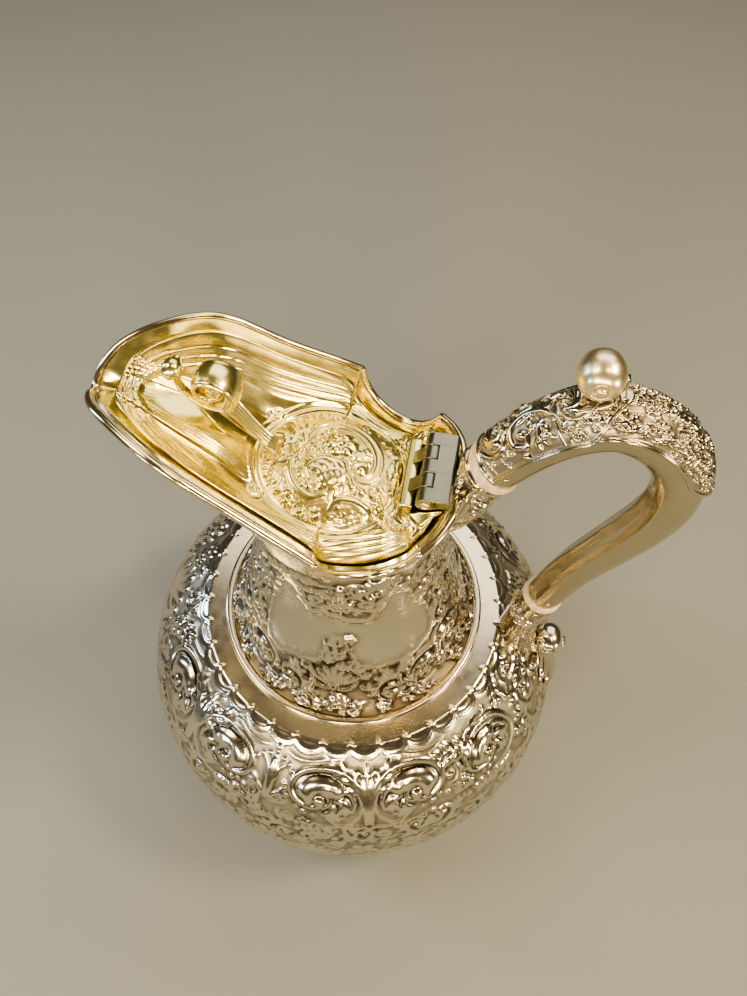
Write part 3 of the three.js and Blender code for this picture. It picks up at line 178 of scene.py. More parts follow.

# %% [markdown]
# ## Sheets of metal as grids
# Every raised piece starts as a grid of points in millimetres, counted from the jug's own axis. The
# grid is wrapped round in its columns, and in its rows too where it is a closed ring. Blender's own
# smooth shading then follows the relief, and rows listed as sharp keep a hard edge. Each piece is also
# handed its body, its finish and a slot name together, and rides on that body in that finish.

# %% Make a mesh from a grid
ON_JUG = ("root", chased_silver, "sterling_silver")
ON_HANDLE = ("root", handle_silver_shaded, "sterling_silver")
ON_LID = ("lid", silver_gilt, "silver_gilt")


def grid_piece(name, points, made_as, ring=False, recess=None, matting=None, gilt_from=None, sharp_rows=()):
    body, material, slot = made_as
    rows, columns = points.shape[:2]
    mesh = bpy.data.meshes.new(name)
    place = points.reshape(-1, 3) * MM + np.array([AXIS_X, 0, 0])
    i, j = np.meshgrid(np.arange(rows if ring else rows - 1), np.arange(columns), indexing="ij")
    up, right = (i + 1) % rows, (j + 1) % columns
    quads = np.stack([i * columns + j, i * columns + right, up * columns + right, up * columns + j], -1).reshape(-1, 4)
    mesh.vertices.add(len(place))
    mesh.vertices.foreach_set("co", place.astype(np.float32).ravel())
    mesh.loops.add(quads.size)
    mesh.loops.foreach_set("vertex_index", quads.astype(np.int32).ravel())
    mesh.polygons.add(len(quads))
    mesh.polygons.foreach_set("loop_start", (np.arange(len(quads)) * 4).astype(np.int32))
    mesh.polygons.foreach_set("use_smooth", np.ones(len(quads), bool))
    mesh.materials.append(material)
    if gilt_from is not None:
        mesh.materials.append(silver_gilt)
        mesh.polygons.foreach_set("material_index", (i.ravel() >= gilt_from).astype(np.int32))
    mesh.update(calc_edges=True)
    for label, values in (("recess", recess), ("matting", matting)):
        layer = mesh.attributes.new(label, "FLOAT", "POINT")
        layer.data.foreach_set("value", np.broadcast_to(0.0 if values is None else values, (rows, columns))
                               .astype(np.float32).ravel())
    if len(sharp_rows):
        ends = np.zeros(len(mesh.edges) * 2, np.int32)
        mesh.edges.foreach_get("vertices", ends)
        row_of = ends.reshape(-1, 2) // columns
        sharp = np.isin(row_of[:, 0], sharp_rows) & (row_of[:, 0] == row_of[:, 1])
        mesh.attributes.new("sharp_edge", "BOOLEAN", "EDGE").data.foreach_set("value", sharp)
    piece = bpy.data.objects.new(name, mesh)
    bpy.context.scene.collection.objects.link(piece)
    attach(piece, body)
    corners = place[quads]
    facing = np.cross(corners[:, 1] - corners[:, 0], corners[:, 2] - corners[:, 0])
    if np.sum(corners[:, 0] * facing) < 0:
        mesh.flip_normals()
    return piece


def unit(v):
    return v / np.maximum(np.linalg.norm(v, axis=-1, keepdims=True), 1e-12)


def grid_normals(points):
    padded = np.concatenate([points[:, -1:], points, points[:, :1]], 1)
    across = np.gradient(padded, axis=1)[:, 1:-1]
    return unit(np.cross(across, np.gradient(points, axis=0)))


# %% [markdown]
# ## Smooth lines
# The jug's curves pass through a few set points. A Catmull-Rom line does that: it goes through every
# point and takes its direction from the neighbours. The small helpers close the ends of a tube, put
# points on a circle, measure along a line and take even steps on it.

# %% Curves through points
ACROSS, UPRIGHT = np.array([0.0, 1.0, 0.0]), np.array([0.0, 0.0, 1.0])
END_SHRINK = 0.02


def closed(points):
    ends = []
    for end in (points[:1], points[-1:]):
        middle = end.mean(1, keepdims=True)
        ends.append(middle + (end - middle) * END_SHRINK)
    return np.concatenate([ends[0], points, ends[1]])


def with_ends(values):
    return np.concatenate([values[:1], values, values[-1:]])


def on_circle(radius, angle, height):
    return np.stack(np.broadcast_arrays(radius * np.cos(angle), radius * np.sin(angle), height), -1)


def run_of(line):
    return np.concatenate([[0], np.cumsum(np.linalg.norm(np.diff(line, axis=0), axis=1))])


def read_at(steps, known, line):
    return np.stack([np.interp(steps, known, line[:, k]) for k in range(line.shape[1])], 1)


def softened(loop):
    return (np.roll(loop, 1, 0) + 2 * loop + np.roll(loop, -1, 0)) / 4


def soft_loop(corners, step=0.25):
    corners = np.asarray([*corners, corners[0]], float)
    sides = []
    for a, b in zip(corners[:-1], corners[1:]):
        n = max(2, int(np.hypot(*(b - a)) / step))
        sides.append(a + (b - a) * (np.arange(n) / n)[:, None])
    return softened(softened(np.concatenate(sides)))


def through(points, steps, spaced=False):
    p = np.asarray(points, float)
    p = np.concatenate([[2 * p[0] - p[1]], p, [2 * p[-1] - p[-2]]])
    out = []
    for a, b, c, d in zip(p[:-3], p[1:-2], p[2:-1], p[3:]):
        gaps = [max(np.sum((q - r) ** 2) ** 0.25, 1e-4) for q, r in ((b, a), (c, b), (d, c))]
        t1 = ((b - a) / gaps[0] - (c - a) / (gaps[0] + gaps[1]) + (c - b) / gaps[1]) * gaps[1]
        t2 = ((c - b) / gaps[1] - (d - b) / (gaps[1] + gaps[2]) + (d - c) / gaps[2]) * gaps[1]
        t = (np.arange(steps) / steps)[:, None]
        out.append(b + t1 * t + (-3 * b + 3 * c - 2 * t1 - t2) * t ** 2 + (2 * b - 2 * c + t1 + t2) * t ** 3)
    line = np.concatenate([*out, p[-2:-1]])
    if spaced:
        run = run_of(line)
        line = read_at(np.linspace(0, run[-1], spaced), run, line)
    return line


def smoothstep(x, low, high):
    t = np.clip((x - low) / (high - low), 0, 1)
    return t * t * (3 - 2 * t)


# %% [markdown]
# ## The chased ornament
# On the real jug a chaser drives the sheet up from inside and then works it from outside with blunt
# punches, so each form is a soft low mound about a quarter as high as it is wide. Each motif is drawn
# here once, as a small plate of heights in millimetres, out of beads, strands and lobed leaves.

# %% The motif plate
PLUMP = 0.5
FAR = 9.0
CHANNEL_BED = 0.3


def to_segment(x, y, a, b):
    length = max(np.sum((b - a) ** 2), 1e-9)
    t = np.clip(((x - a[0]) * (b[0] - a[0]) + (y - a[1]) * (b[1] - a[1])) / length, 0, 1)
    return t, np.hypot(x - a[0] - t * (b[0] - a[0]), y - a[1] - t * (b[1] - a[1]))


class Motif:
    def __init__(self, half, step=0.2):
        self.half, self.step = half, step
        n = int(round(2 * half / step)) + 1
        self.x, self.y = np.meshgrid(np.linspace(-half, half, n), np.linspace(-half, half, n))
        self.h = np.zeros_like(self.x)

    def bead(self, x, y, radius, high=1.0, long=1.0, turn=0.0):
        c, s = math.cos(turn), math.sin(turn)
        dx, dy = self.x - x, self.y - y
        d = np.hypot((dx * c + dy * s) / long, -dx * s + dy * c) / radius
        self.h = np.maximum(self.h, high * PLUMP * radius * np.clip(1 - d * d, 0, 1) ** 0.8)
        return self

    def groove(self, line, wide, deep):
        line = through(line, 8)
        best = np.full(self.x.shape, FAR)
        for a, b in zip(line[:-1], line[1:]):
            best = np.minimum(best, to_segment(self.x, self.y, a, b)[1] / (wide / 2))
        self.h = np.maximum(self.h - deep * np.clip(1 - best ** 2, 0, 1), CHANNEL_BED * self.h)
        return self

    def strand(self, line, wide, high=1.0, ends=(1.0, 0.3), channel=False, steps=8):
        line = through(line, steps)
        total = len(line) - 1
        best = np.full(self.x.shape, FAR)
        share = np.zeros_like(best)
        for k in range(total):
            t, gap = to_segment(self.x, self.y, line[k], line[k + 1])
            along = (k + t) / total
            d = gap / (wide / 2 * np.interp(along, [0, 0.25, 0.75, 1], [ends[0], 1, 1, ends[1]]))
            nearer = d < best
            best = np.where(nearer, d, best)
            share = np.where(nearer, along, share)
        tall = high * PLUMP * wide / 2 * np.interp(share, [0, 0.2, 0.8, 1], [0.7, 1, 1, 0.8])
        rise = np.clip(1 - best ** 2, 0, 1) ** 0.8
        if channel:
            lips = np.exp(-((best - 0.68) / 0.24) ** 2)
            rise = np.maximum(lips, CHANNEL_BED * rise) * smoothstep(1.06 - best, 0, 0.2)
        covered = self.h * (CHANNEL_BED if channel else 1)
        self.h = np.where(best < 1, np.maximum(covered, tall * rise), self.h)
        return self

    def frond(self, stem, wide, high=1.0, lobes=3, sides=(1, -1)):
        line = through(stem, 12)
        n = len(line) - 1
        for k in range(lobes):
            t = (k + 0.25) / lobes
            here = int(t * n)
            ahead = unit(line[min(here + 2, n)] - line[max(here - 1, 0)])
            side = np.array([-ahead[1], ahead[0]])
            reach = wide / 2 * (0.6 + 0.4 * math.sin(math.pi * (0.15 + 0.75 * t)))
            for hand in sides:
                tip = line[here] + ahead * reach * 0.75 + side * hand * reach
                middle = line[here] + ahead * reach * 0.2 + side * hand * reach * 0.66
                self.strand([line[here], middle, tip], wide * 0.4, high, (0.5, 0.85), steps=5)
        return self.strand(stem, wide * 0.34, high * 1.2, (0.9, 0.6), steps=6)

    def flower(self, x, y, radius, high=1.0, petals=5, turn=0.3):
        for k in range(petals):
            a = turn + 2 * math.pi * k / petals
            px, py = x + radius * 0.6 * math.cos(a), y + radius * 0.6 * math.sin(a)
            self.bead(px, py, radius * 0.42, high * 1.3, 1.15, a)
        return self.bead(x, y, radius * 0.34, high * 2.1)

    def curl(self, x, y, radius, wide, high=1.0, start=0.0, turns=1.2, hand=1, tight=0.22):
        angles = np.linspace(0, 2 * math.pi * turns, int(9 * turns) + 3)
        radii = radius * tight ** (angles / angles[-1])
        line = [(x + r * math.cos(start + hand * a), y + r * math.sin(start + hand * a)) for a, r in zip(angles, radii)]
        self.strand(line, wide, high, (0.5, 0.75), steps=4)
        return self.bead(line[-1][0], line[-1][1], wide * 0.7, high * 1.1)


# %% [markdown]
# The motifs of this jug: an open C-scroll roundel with a curled leaf in it, a sheaf of ribs that
# fans out between two roundels, a lily bud, a shell, a scroll with sprays, a rosette, sprigs and a
# curl. The roundel is 27 mm across on the real jug and the sheaf about 28 mm high.

# %% Strike the motifs
def roundel():
    m = Motif(17)
    m.strand([(-16.4, 12.9), (-12.0, 11.8), (-7.0, 12.6), (-2.0, 14.6), (3.0, 15.4)], 1.7, 1.1, (0.3, 0.4))
    m.strand([(-3.4, 15.6), (1.6, 13.4), (7.0, 12.6), (12.0, 11.0)], 1.5, 1.0, (0.3, 0.4))
    m.strand([(-5.0, -2.4), (-6.2, 1.2), (-3.6, 4.4), (0.6, 5.0), (3.9, 3.9)], 7.0, 0.8, (0.45, 0.85), steps=6)
    for line in ([(-2.6, 1.6), (0.0, 3.2), (3.0, 3.4)], [(-3.2, 4.0), (0.0, 5.4), (3.6, 5.0)]):
        m.groove(line, 0.8, 0.3)
    m.strand([(4.9, 6.6), (4.6, 4.8), (3.6, 3.0)], 1.6, 1.7, (0.8, 0.6))
    m.strand([(-1.9, -3.9), (0.9, -3.4), (2.3, -1.2), (1.5, 1.0), (-0.6, 1.8), (-3.2, 1.0)], 1.5, 1.6, (0.6, 0.5))
    m.bead(-1.5, -1.3, 2.2, 1.2)
    m.groove([(-1.9, -3.2), (-1.5, -1.2), (-1.7, 0.6)], 0.6, 0.4)
    m.strand([(3.4, 1.6), (6.4, 4.2), (9.0, 3.4), (10.7, 0.6), (10.9, -4.2)], 1.4, 1.5, (0.5, 0.6), steps=6)
    for x, y in ((10.0, -3.6), (8.6, -4.7), (6.4, -5.0)):
        m.strand([(3.7, 0.2), (6.2 + 0.12 * x, 1.2 + 0.3 * y), (x, y)], 2.5, 1.1, (0.4, 0.85), steps=5)
    for x, y in ((6.6, -8.6), (4.7, -9.0), (2.8, -8.4), (1.2, -7.0)):
        m.strand([(3.8, -1.8), (3.2 + 0.2 * x, -4.8), (x, y)], 2.1, 1.1, (0.4, 0.85), steps=5)
    m.strand([(13.8, -4.8), (13.6, 0.8), (11.8, 6.0), (8.0, 9.6), (4.0, 11.4), (-0.4, 11.7), (-5.2, 10.6), (-9.2, 8.2),
              (-11.6, 4.4), (-12.0, 0.4), (-10.4, -2.6), (-7.4, -4.4), (-4.2, -4.9), (-1.6, -4.2)],
             2.2, 1.35, (0.5, 0.8), steps=6)
    m.strand([(-7.4, 6.6), (-9.6, 3.6), (-9.8, 0.6), (-8.2, -1.7), (-5.4, -2.9)], 1.1, 1.3, (0.3, 0.5))
    m.strand([(14.0, -5.6), (11.4, -9.6), (6.4, -12.4), (0.6, -12.9), (-4.8, -11.4)], 1.3, 1.1, (0.7, 0.3))
    for x, y, r in ((7.9, -6.9, 0.9), (-6.2, -7.8, 1.3), (-9.0, -6.6, 1.1), (-2.4, -8.2, 1.0)):
        m.bead(x, y, r, 1.1)
    return m


def sheaf():
    m = Motif(17)
    for hand in (1, -1):
        m.frond([(hand * 3.0, 2), (hand * 6.0, 9), (hand * 10.6, 12.6)], 6.0, 1.0, 3)
        m.strand([(hand * 1.0, -13.6), (hand * 5.6, -15.0), (hand * 11.0, -13.4), (hand * 15.6, -9.8)], 2.0, 1.0,
                 (0.8, 0.4))
    for spread in np.linspace(-1, 1, 7):
        m.strand([(spread * 0.9, -14), (spread * 1.4, -6), (spread * 3.2, 2), (spread * 6.0, 9.6 - 3.0 * spread ** 2)],
                 1.7, 1.5, (0.7, 0.9), steps=6)
    m.frond([(0, 3), (0, 8), (0, 13.8)], 6.0, 1.1, 2)
    return m.bead(0, -14, 2.2, 1.1)


def lily():
    m = Motif(12)
    for hand in (1, -1):
        m.frond([(hand * 1.0, -9.5), (hand * 4.4, -5.6), (hand * 8.4, -5.2)], 5.4, 1.0, 2)
        m.strand([(0, -4.0), (hand * 2.0, 1.0), (hand * 2.6, 5.0), (hand * 5.0, 7.6)], 1.6, 1.2, (0.6, 0.7))
        m.strand([(hand * 1.2, -11), (hand * 5.0, -10.4), (hand * 9.0, -8.4)], 1.4, 1.0, (0.7, 0.4))
    m.strand([(0, -10.0), (0, -4.0), (0, 2.0), (0, 7.6)], 3.6, 1.2, (0.4, 0.7))
    m.groove([(0, -7.0), (0, 0), (0, 7.0)], 0.8, 0.5)
    for k in range(7):
        a = math.radians(-60 + 20 * k)
        m.bead(8.4 * math.sin(a), 1.6 + 8.0 * math.cos(a), 1.2, 1.0)
    return m


def shell():
    m = Motif(10)
    for a in np.radians(np.linspace(20, 160, 7)):
        m.strand([(0, -4.5), (4.2 * math.cos(a), -4.5 + 5.4 * math.sin(a)),
                  (7.8 * math.cos(a), -4.5 + 10.2 * math.sin(a))], 2.7, 1.1, (0.3, 1.05))
    for hand in (1, -1):
        m.strand([(hand * 8.8, 0.4), (hand * 7.6, -5.0), (hand * 3.4, -7.2), (hand * 0.8, -5.6)], 2.4, 1.2, (0.7, 0.8))
        m.bead(hand * 8.4, 0.6, 1.6, 1.0)
    return m.bead(0, -5.4, 2.2, 1.2)


def scroll_spray():
    m = Motif(10.5)
    m.frond([(-6.8, -0.6), (-8.0, 3.6), (-4.8, 7.6)], 6.4, 1.0, 2)
    m.frond([(0.4, 4.2), (3.4, 7.4), (8.0, 6.4)], 6.2, 1.0, 2)
    m.frond([(-5.2, -2.6), (-1.8, -5.6), (-1.6, -9.2)], 6.0, 1.0, 2)
    m.strand([(-8.6, -6.4), (-7.2, -0.6), (-2.2, 3.8), (3.6, 3.2), (6.0, -1.2), (3.4, -4.4), (0.4, -2.6)], 2.6, 1.35,
             (0.5, 0.8))
    m.bead(1.9, -1.0, 1.9, 1.3)
    return m.bead(6.4, -6.4, 1.7, 1.1)


def feather():
    m = Motif(9)
    m.frond([(-7.4, -4.6), (-3.6, -0.2), (1.6, 2.6), (7.0, 3.0)], 8.0, 1.1, 4)
    return m.curl(-5.8, -5.2, 2.4, 1.5, 1.3, 0.4, 1.0, -1)


def rosette():
    return Motif(4.6).flower(0, 0, 3.9, 1.0, 5)


def sprig():
    m = Motif(6.4)
    m.frond([(-5.0, -3.4), (-1.2, -1.0), (4.0, 3.0)], 6.4, 1.05, 3)
    return m.bead(3.4, -3.4, 1.4, 1.0)


def berry_sprig():
    m = Motif(6)
    m.strand([(-4.8, -2.8), (-1.6, 0.4), (2.6, 1.0), (4.8, -1.2)], 1.7, 1.1, (0.6, 0.7))
    for x, y, r in ((-2.4, 3.2, 1.7), (1.6, 3.6, 1.6), (0.8, -2.6, 1.6)):
        m.bead(x, y, r, 1.1)
    return m


def small_curl():
    m = Motif(5.4)
    m.curl(0.6, 0.4, 3.4, 1.8, 1.2, 2.6, 1.1, 1, 0.26)
    return m.strand([(-2.2, 2.2), (-4.0, 0.2), (-3.6, -3.6)], 1.8, 1.1, (0.9, 0.4))


ROUNDEL, SHEAF, SHELL, SPRAY, FEATHER, LILY = roundel(), sheaf(), shell(), scroll_spray(), feather(), lily()
ROSETTE, SPRIG, BERRIES, CURL = rosette(), sprig(), berry_sprig(), small_curl()
PELLET = Motif(1.8).bead(0, 0, 1.3, 1.1)
print("motif plates, in points across:",
      [m.x.shape[0] for m in (ROUNDEL, SHEAF, SHELL, SPRAY, FEATHER, LILY, ROSETTE, SPRIG, BERRIES, CURL, PELLET)])

# %% [markdown]
# A `Relief` is the height of the chasing all over one sheet. It knows how far each point lies along
# and across the sheet in millimetres, presses motifs on it, and can fill what is still bare with
# sprigs, flowers and beads, chosen by a seeded random draw, so that each run gives the same jug.

# %% The relief of one sheet
class Relief:
    def __init__(self, along, up, turn_length=None):
        self.along, self.up, self.turn_length = along, up, turn_length
        self.h = np.zeros_like(up)
        self.bare = np.zeros_like(up)
        self.row_low, self.row_high = up.min(1), up.max(1)
        if turn_length is not None:
            self.column_turn = along[len(along) // 2]

    def window(self, x, y, reach):
        rows = np.nonzero((self.row_high > y - reach) & (self.row_low < y + reach))[0]
        if len(rows) == 0:
            return None
        rows = slice(rows[0], rows[-1] + 1)
        if self.turn_length is None:
            return rows, slice(None)
        apart = np.abs((self.column_turn - x + math.pi) % (2 * math.pi) - math.pi)
        near = self.turn_length[rows].min()
        columns = np.nonzero(apart < reach / near + 0.06)[0]
        return (rows, columns) if len(columns) else None

    def offset(self, x, y, where=slice(None)):
        dx = self.along[where] - x
        if self.turn_length is not None:
            dx = ((dx + math.pi) % (2 * math.pi) - math.pi) * self.turn_length[where]
        return dx, self.up[where] - y

    def press(self, motif, x, y, turn=0.0, scale=1.0, mirror=False, high=1.0):
        where = self.window(x, y, motif.half * scale * 1.42)
        if where is None:
            return
        dx, dy = self.offset(x, y, where)
        c, s = math.cos(turn) / scale, math.sin(turn) / scale
        px, py = dx * c + dy * s, -dx * s + dy * c
        if mirror:
            px = -px
        n = motif.x.shape[0]
        col, row = (px + motif.half) / motif.step, (py + motif.half) / motif.step
        inside = (col >= 0) & (row >= 0) & (col < n - 1.001) & (row < n - 1.001)
        ci, ri = np.clip(col, 0, n - 1.002), np.clip(row, 0, n - 1.002)
        c0, r0 = ci.astype(int), ri.astype(int)
        fc, fr = ci - c0, ri - r0
        h = motif.h
        value = (h[r0, c0] * (1 - fc) * (1 - fr) + h[r0, c0 + 1] * fc * (1 - fr)
                 + h[r0 + 1, c0] * (1 - fc) * fr + h[r0 + 1, c0 + 1] * fc * fr)
        free = np.where(inside & (self.bare[where] < 0.5), value * high, 0)
        self.h[where] = np.maximum(self.h[where], free)

    def taken(self, x, y, radius):
        where = self.window(x, y, radius)
        if where is None:
            return 1.0
        dx, dy = self.offset(x, y, where)
        near = dx * dx + dy * dy < radius * radius
        if not near.any():
            return 1.0
        return float(np.mean((self.h[where][near] > 0.12) | (self.bare[where][near] > 0.5)))

    def fill(self, motifs, count, x_range, y_range, seed, crowd=0.3, scale=(0.7, 1.05), high=0.9):
        draw = np.random.default_rng(seed)
        placed = 0
        for _ in range(count):
            x, y = draw.uniform(*x_range), draw.uniform(*y_range)
            motif = motifs[draw.integers(len(motifs))]
            size, turn, flip = draw.uniform(*scale), draw.uniform(0, 2 * math.pi), draw.random() < 0.5
            if self.taken(x, y, motif.half * size * 0.75) < crowd:
                self.press(motif, x, y, turn, size, flip, high)
                placed += 1
        return placed


def smoothed(h, passes):
    for _ in range(passes):
        h = (np.concatenate([h[:1], h[:-1]]) + 2 * h + np.concatenate([h[1:], h[-1:]])) / 4
        h = (np.roll(h, 1, 1) + 2 * h + np.roll(h, -1, 1)) / 4
    return h


# Darkening for the relief: a little on the flat ground between forms and much more in the hollows beside the raised
# work. It stands for tarnish and for painted shade in those hollows.
def tarnish_and_shade(h, ground, passes=10):
    hollow = np.clip((smoothed(h, passes) - h) / 0.4, 0, 1)
    flat = ground * (1 - smoothstep(h, 0.0, 0.3))
    return np.clip(0.3 * flat + 0.95 * hollow, 0, 0.88)


def matted(h):
    return 1 - smoothstep(h, 0.05, 0.4)


# %% [markdown]
# ## The body
# The body is a squat bowl, 160 mm wide. Its outline is two quarter curves fuller than a circle. The
# plain polished shoulder ends in a border of 36 scallops with a bead at each joint, and below it lie
# the roundels in mirrored pairs round a tall leaf.

# %% Outline of the body in millimetres
BODY_RADIUS, BULGE_HEIGHT, FLOOR_HEIGHT = 80.0, 55.0, 6.3
SHOULDER_RADIUS, SHOULDER_HEIGHT, FLOOR_RADIUS, OPENING_RADIUS = 53.0, 105.0, 42.0, 42.4
UPPER_FULLNESS, LOWER_FULLNESS = 2.46, 2.4
BODY_SHEET, RELIEF_SUNK = 1.4, 0.2
BODY_ROW_STEP, BODY_COLUMNS = 0.54, 1008


def bulge_arc(end_radius, end_height, fullness, steps=500):
    end_angle = math.acos((end_radius / BODY_RADIUS) ** (fullness / 2))
    depth = (end_height - BULGE_HEIGHT) / math.sin(end_angle) ** (2 / fullness)
    angle = np.linspace(0, end_angle, steps)
    return np.stack([BODY_RADIUS * np.cos(angle) ** (2 / fullness),
                     BULGE_HEIGHT + depth * np.sin(angle) ** (2 / fullness)], 1)


def even_rows(line, spacing):
    run = run_of(line)
    even = np.linspace(0, run[-1], int(run[-1] / spacing) + 2)
    return read_at(even, run, line), even


upper_line = bulge_arc(SHOULDER_RADIUS, SHOULDER_HEIGHT, UPPER_FULLNESS)[::-1]
lower_line = bulge_arc(FLOOR_RADIUS, FLOOR_HEIGHT, LOWER_FULLNESS)
shoulder_flat = np.array([[OPENING_RADIUS, SHOULDER_HEIGHT], [SHOULDER_RADIUS - 3, SHOULDER_HEIGHT]])
outline = np.concatenate([shoulder_flat, upper_line, lower_line[1:]])
body_rows, body_run = even_rows(outline, BODY_ROW_STEP)
turn = np.linspace(0, 2 * math.pi, BODY_COLUMNS, endpoint=False)


def run_at(radius, height):
    gap = np.hypot(body_rows[:, 0] - radius, body_rows[:, 1] - height)
    return float(body_run[np.argmin(gap)])


BORDER_RUN = run_at(53.4, 104.4)
print("body rows:", len(body_rows), "border starts at", round(BORDER_RUN, 1), "mm from the opening")

# %% [markdown]
# The scalloped border is a row of 36 small arches that bulge outward and down, each 9 mm wide. Each
# arch is a raised line with a fainter one outside it, and a trefoil of beads stands where two arches
# meet and points towards the neck.

# %% Chase the border
SCALLOPS, ARCH_DROP, BORDER_WIDTH = 36, 2.3, 1.9
ARCH_LINES = ((0, 0.6, 0.42), (1.6, 0.45, 0.26))
TREFOIL = ((0, 1.3, 0.75, 0.4), (-0.95, 0.1, 0.7, 0.36), (0.95, 0.1, 0.7, 0.36))
side_radius = np.repeat(body_rows[:, :1], BODY_COLUMNS, 1)
up_grid = -np.repeat(body_run[:, None], BODY_COLUMNS, 1)
body_relief = Relief(np.repeat(turn[None, :], len(body_rows), 0), up_grid, side_radius)
phase = (body_relief.along * SCALLOPS / (2 * math.pi)) % 1
below_border = -body_relief.up - BORDER_RUN - ARCH_DROP * np.sin(np.pi * phase) ** 0.75
for shift, width, tall in ARCH_LINES:
    body_relief.h = np.maximum(body_relief.h, tall * np.exp(-((below_border - shift) / width) ** 2))
for k in range(SCALLOPS):
    dx, dy = body_relief.offset(2 * math.pi * k / SCALLOPS, -BORDER_RUN)
    for x, y, radius, tall in TREFOIL:
        d = np.hypot(dx - x, dy - y) / radius
        body_relief.h = np.maximum(body_relief.h, tall * np.clip(1 - d * d, 0, 1))
body_relief.bare = np.where(below_border < BORDER_WIDTH, 1.0, 0.0)
print("scallops:", SCALLOPS)

# %% [markdown]
# Below the border come the large motifs. Two roundels face each other round a sheaf, twice on each
# side of the jug, with lilies and feathers between the pairs. A second row of sprays and shells lies
# on the widest part, and upright sheaves stand above the foot. What stays bare is filled with small work.

# %% Chase the body
ROUNDEL_RUN, LOWER_RUN, FOOT_RUN = run_at(67.3, 93.6), run_at(80.0, 56.0), run_at(66.0, 20.0)
PAIR_AXES, HALF_PAIR = (-75.0, -133.0), 12.6
ROUNDEL_TURNS, ROUNDEL_FIELD = (-62.4, -87.6, -120.4, -145.6, -36.0), 12.0
BULGE_FORMS, FOOT_FORMS = 14, 20
for side in (1, -1):
    for pair_axis in PAIR_AXES:
        axis = math.radians(pair_axis) * side
        body_relief.press(SHEAF, axis, -(ROUNDEL_RUN + 0.5), 0, 0.92)
        for hand in (1, -1):
            body_relief.press(ROUNDEL, axis + hand * math.radians(HALF_PAIR), -(ROUNDEL_RUN + 1.0), 0.1 * hand, 0.97,
                              hand == 1)
    for motif, degrees, down, lean, scale, flip, high in (
            (LILY, -104.0, -1.5, 0, 0.9, False, 1.0), (FEATHER, -47.0, -5, 0.25, 0.86, side == 1, 1.0),
            (FEATHER, -160.0, -5, 0.25, 0.86, side == -1, 1.0), (ROUNDEL, -36, 2, 0.3, 0.85, side == -1, 1.1),
            (SPRAY, -17, 1, 1.2, 0.8, side == -1, 1.0)):
        body_relief.press(motif, math.radians(degrees) * side, -(ROUNDEL_RUN + down), lean * side, scale, flip, high)
body_relief.press(SHELL, math.pi, -(ROUNDEL_RUN + 2), 0, 1.5)
for k in range(BULGE_FORMS):
    a = 2 * math.pi * (k + 0.5) / BULGE_FORMS
    if k % 2:
        body_relief.press(SPRAY, a, -LOWER_RUN, 0.3, 1.25, k % 4 == 1, 0.8)
    else:
        body_relief.press(SHELL, a, -LOWER_RUN + 3, 0, 1.1, False, 0.8)
    body_relief.press(ROSETTE, a + math.pi / BULGE_FORMS, -LOWER_RUN + 9, 0.3 * k, 1.3, False, 0.85)
    body_relief.press(CURL, a + math.pi / BULGE_FORMS, -LOWER_RUN - 6, 0.5, 1.3, k % 2 == 0, 0.85)
for k in range(FOOT_FORMS):
    body_relief.press(SHEAF, 2 * math.pi * k / FOOT_FORMS, -FOOT_RUN + 1, 0, 0.82, False, 0.7)
    body_relief.press(ROSETTE, 2 * math.pi * (k + 0.5) / FOOT_FORMS, -FOOT_RUN + 11, 0.2 * k, 0.9, False, 0.7)
full_turn, below = (-math.pi, math.pi), (-body_run[-1] + 8, -BORDER_RUN - 4)
for side in (1, -1):
    for degrees in ROUNDEL_TURNS:
        dx, dy = body_relief.offset(side * math.radians(degrees), -(ROUNDEL_RUN + 0.5))
        field = (np.hypot(dx, dy) < ROUNDEL_FIELD) & (body_relief.h < 0.05)
        body_relief.bare = np.where(field, 1.0, body_relief.bare)
counts = [body_relief.fill([SPRAY, FEATHER], 900, full_turn, below, 11, 0.2, (0.6, 0.85), 0.95),
          body_relief.fill([SPRIG, BERRIES, CURL, ROSETTE], 2600, full_turn, below, 12, 0.2, (0.65, 1.0), 0.95),
          body_relief.fill([PELLET], 900, full_turn, below, 13, 0.1, (0.7, 1.1), 0.9)]
print("sprays, sprigs and beads placed:", counts)

# %% [markdown]
# The relief rises from a ground that is pressed a little below the old surface, so that only the
# tallest work stands at the full size. The dark and matted marks follow the depth. The bowl is one
# sheet, but its skin is kept in three rings, so that each stays light enough to store.

# %% Raise the body
INNER_ROWS = 8
body_relief.h = smoothed(body_relief.h, 1)
ground = smoothstep(below_border, 1.7, 2.4)
# body_recess is tarnish and painted shade, darkest in the hollows beside the chased forms.
body_recess = tarnish_and_shade(body_relief.h, ground)
body_matting = ground * (1 - body_relief.bare) * matted(body_relief.h)
base = on_circle(side_radius, turn, body_rows[:, 1:])
normals = -grid_normals(base)
raised = base + normals * (body_relief.h - RELIEF_SUNK * ground)[..., None]
raised_normals = -grid_normals(raised)


def spread_rows(rows):
    return rows[np.linspace(0, len(rows) - 1, INNER_ROWS).astype(int)]


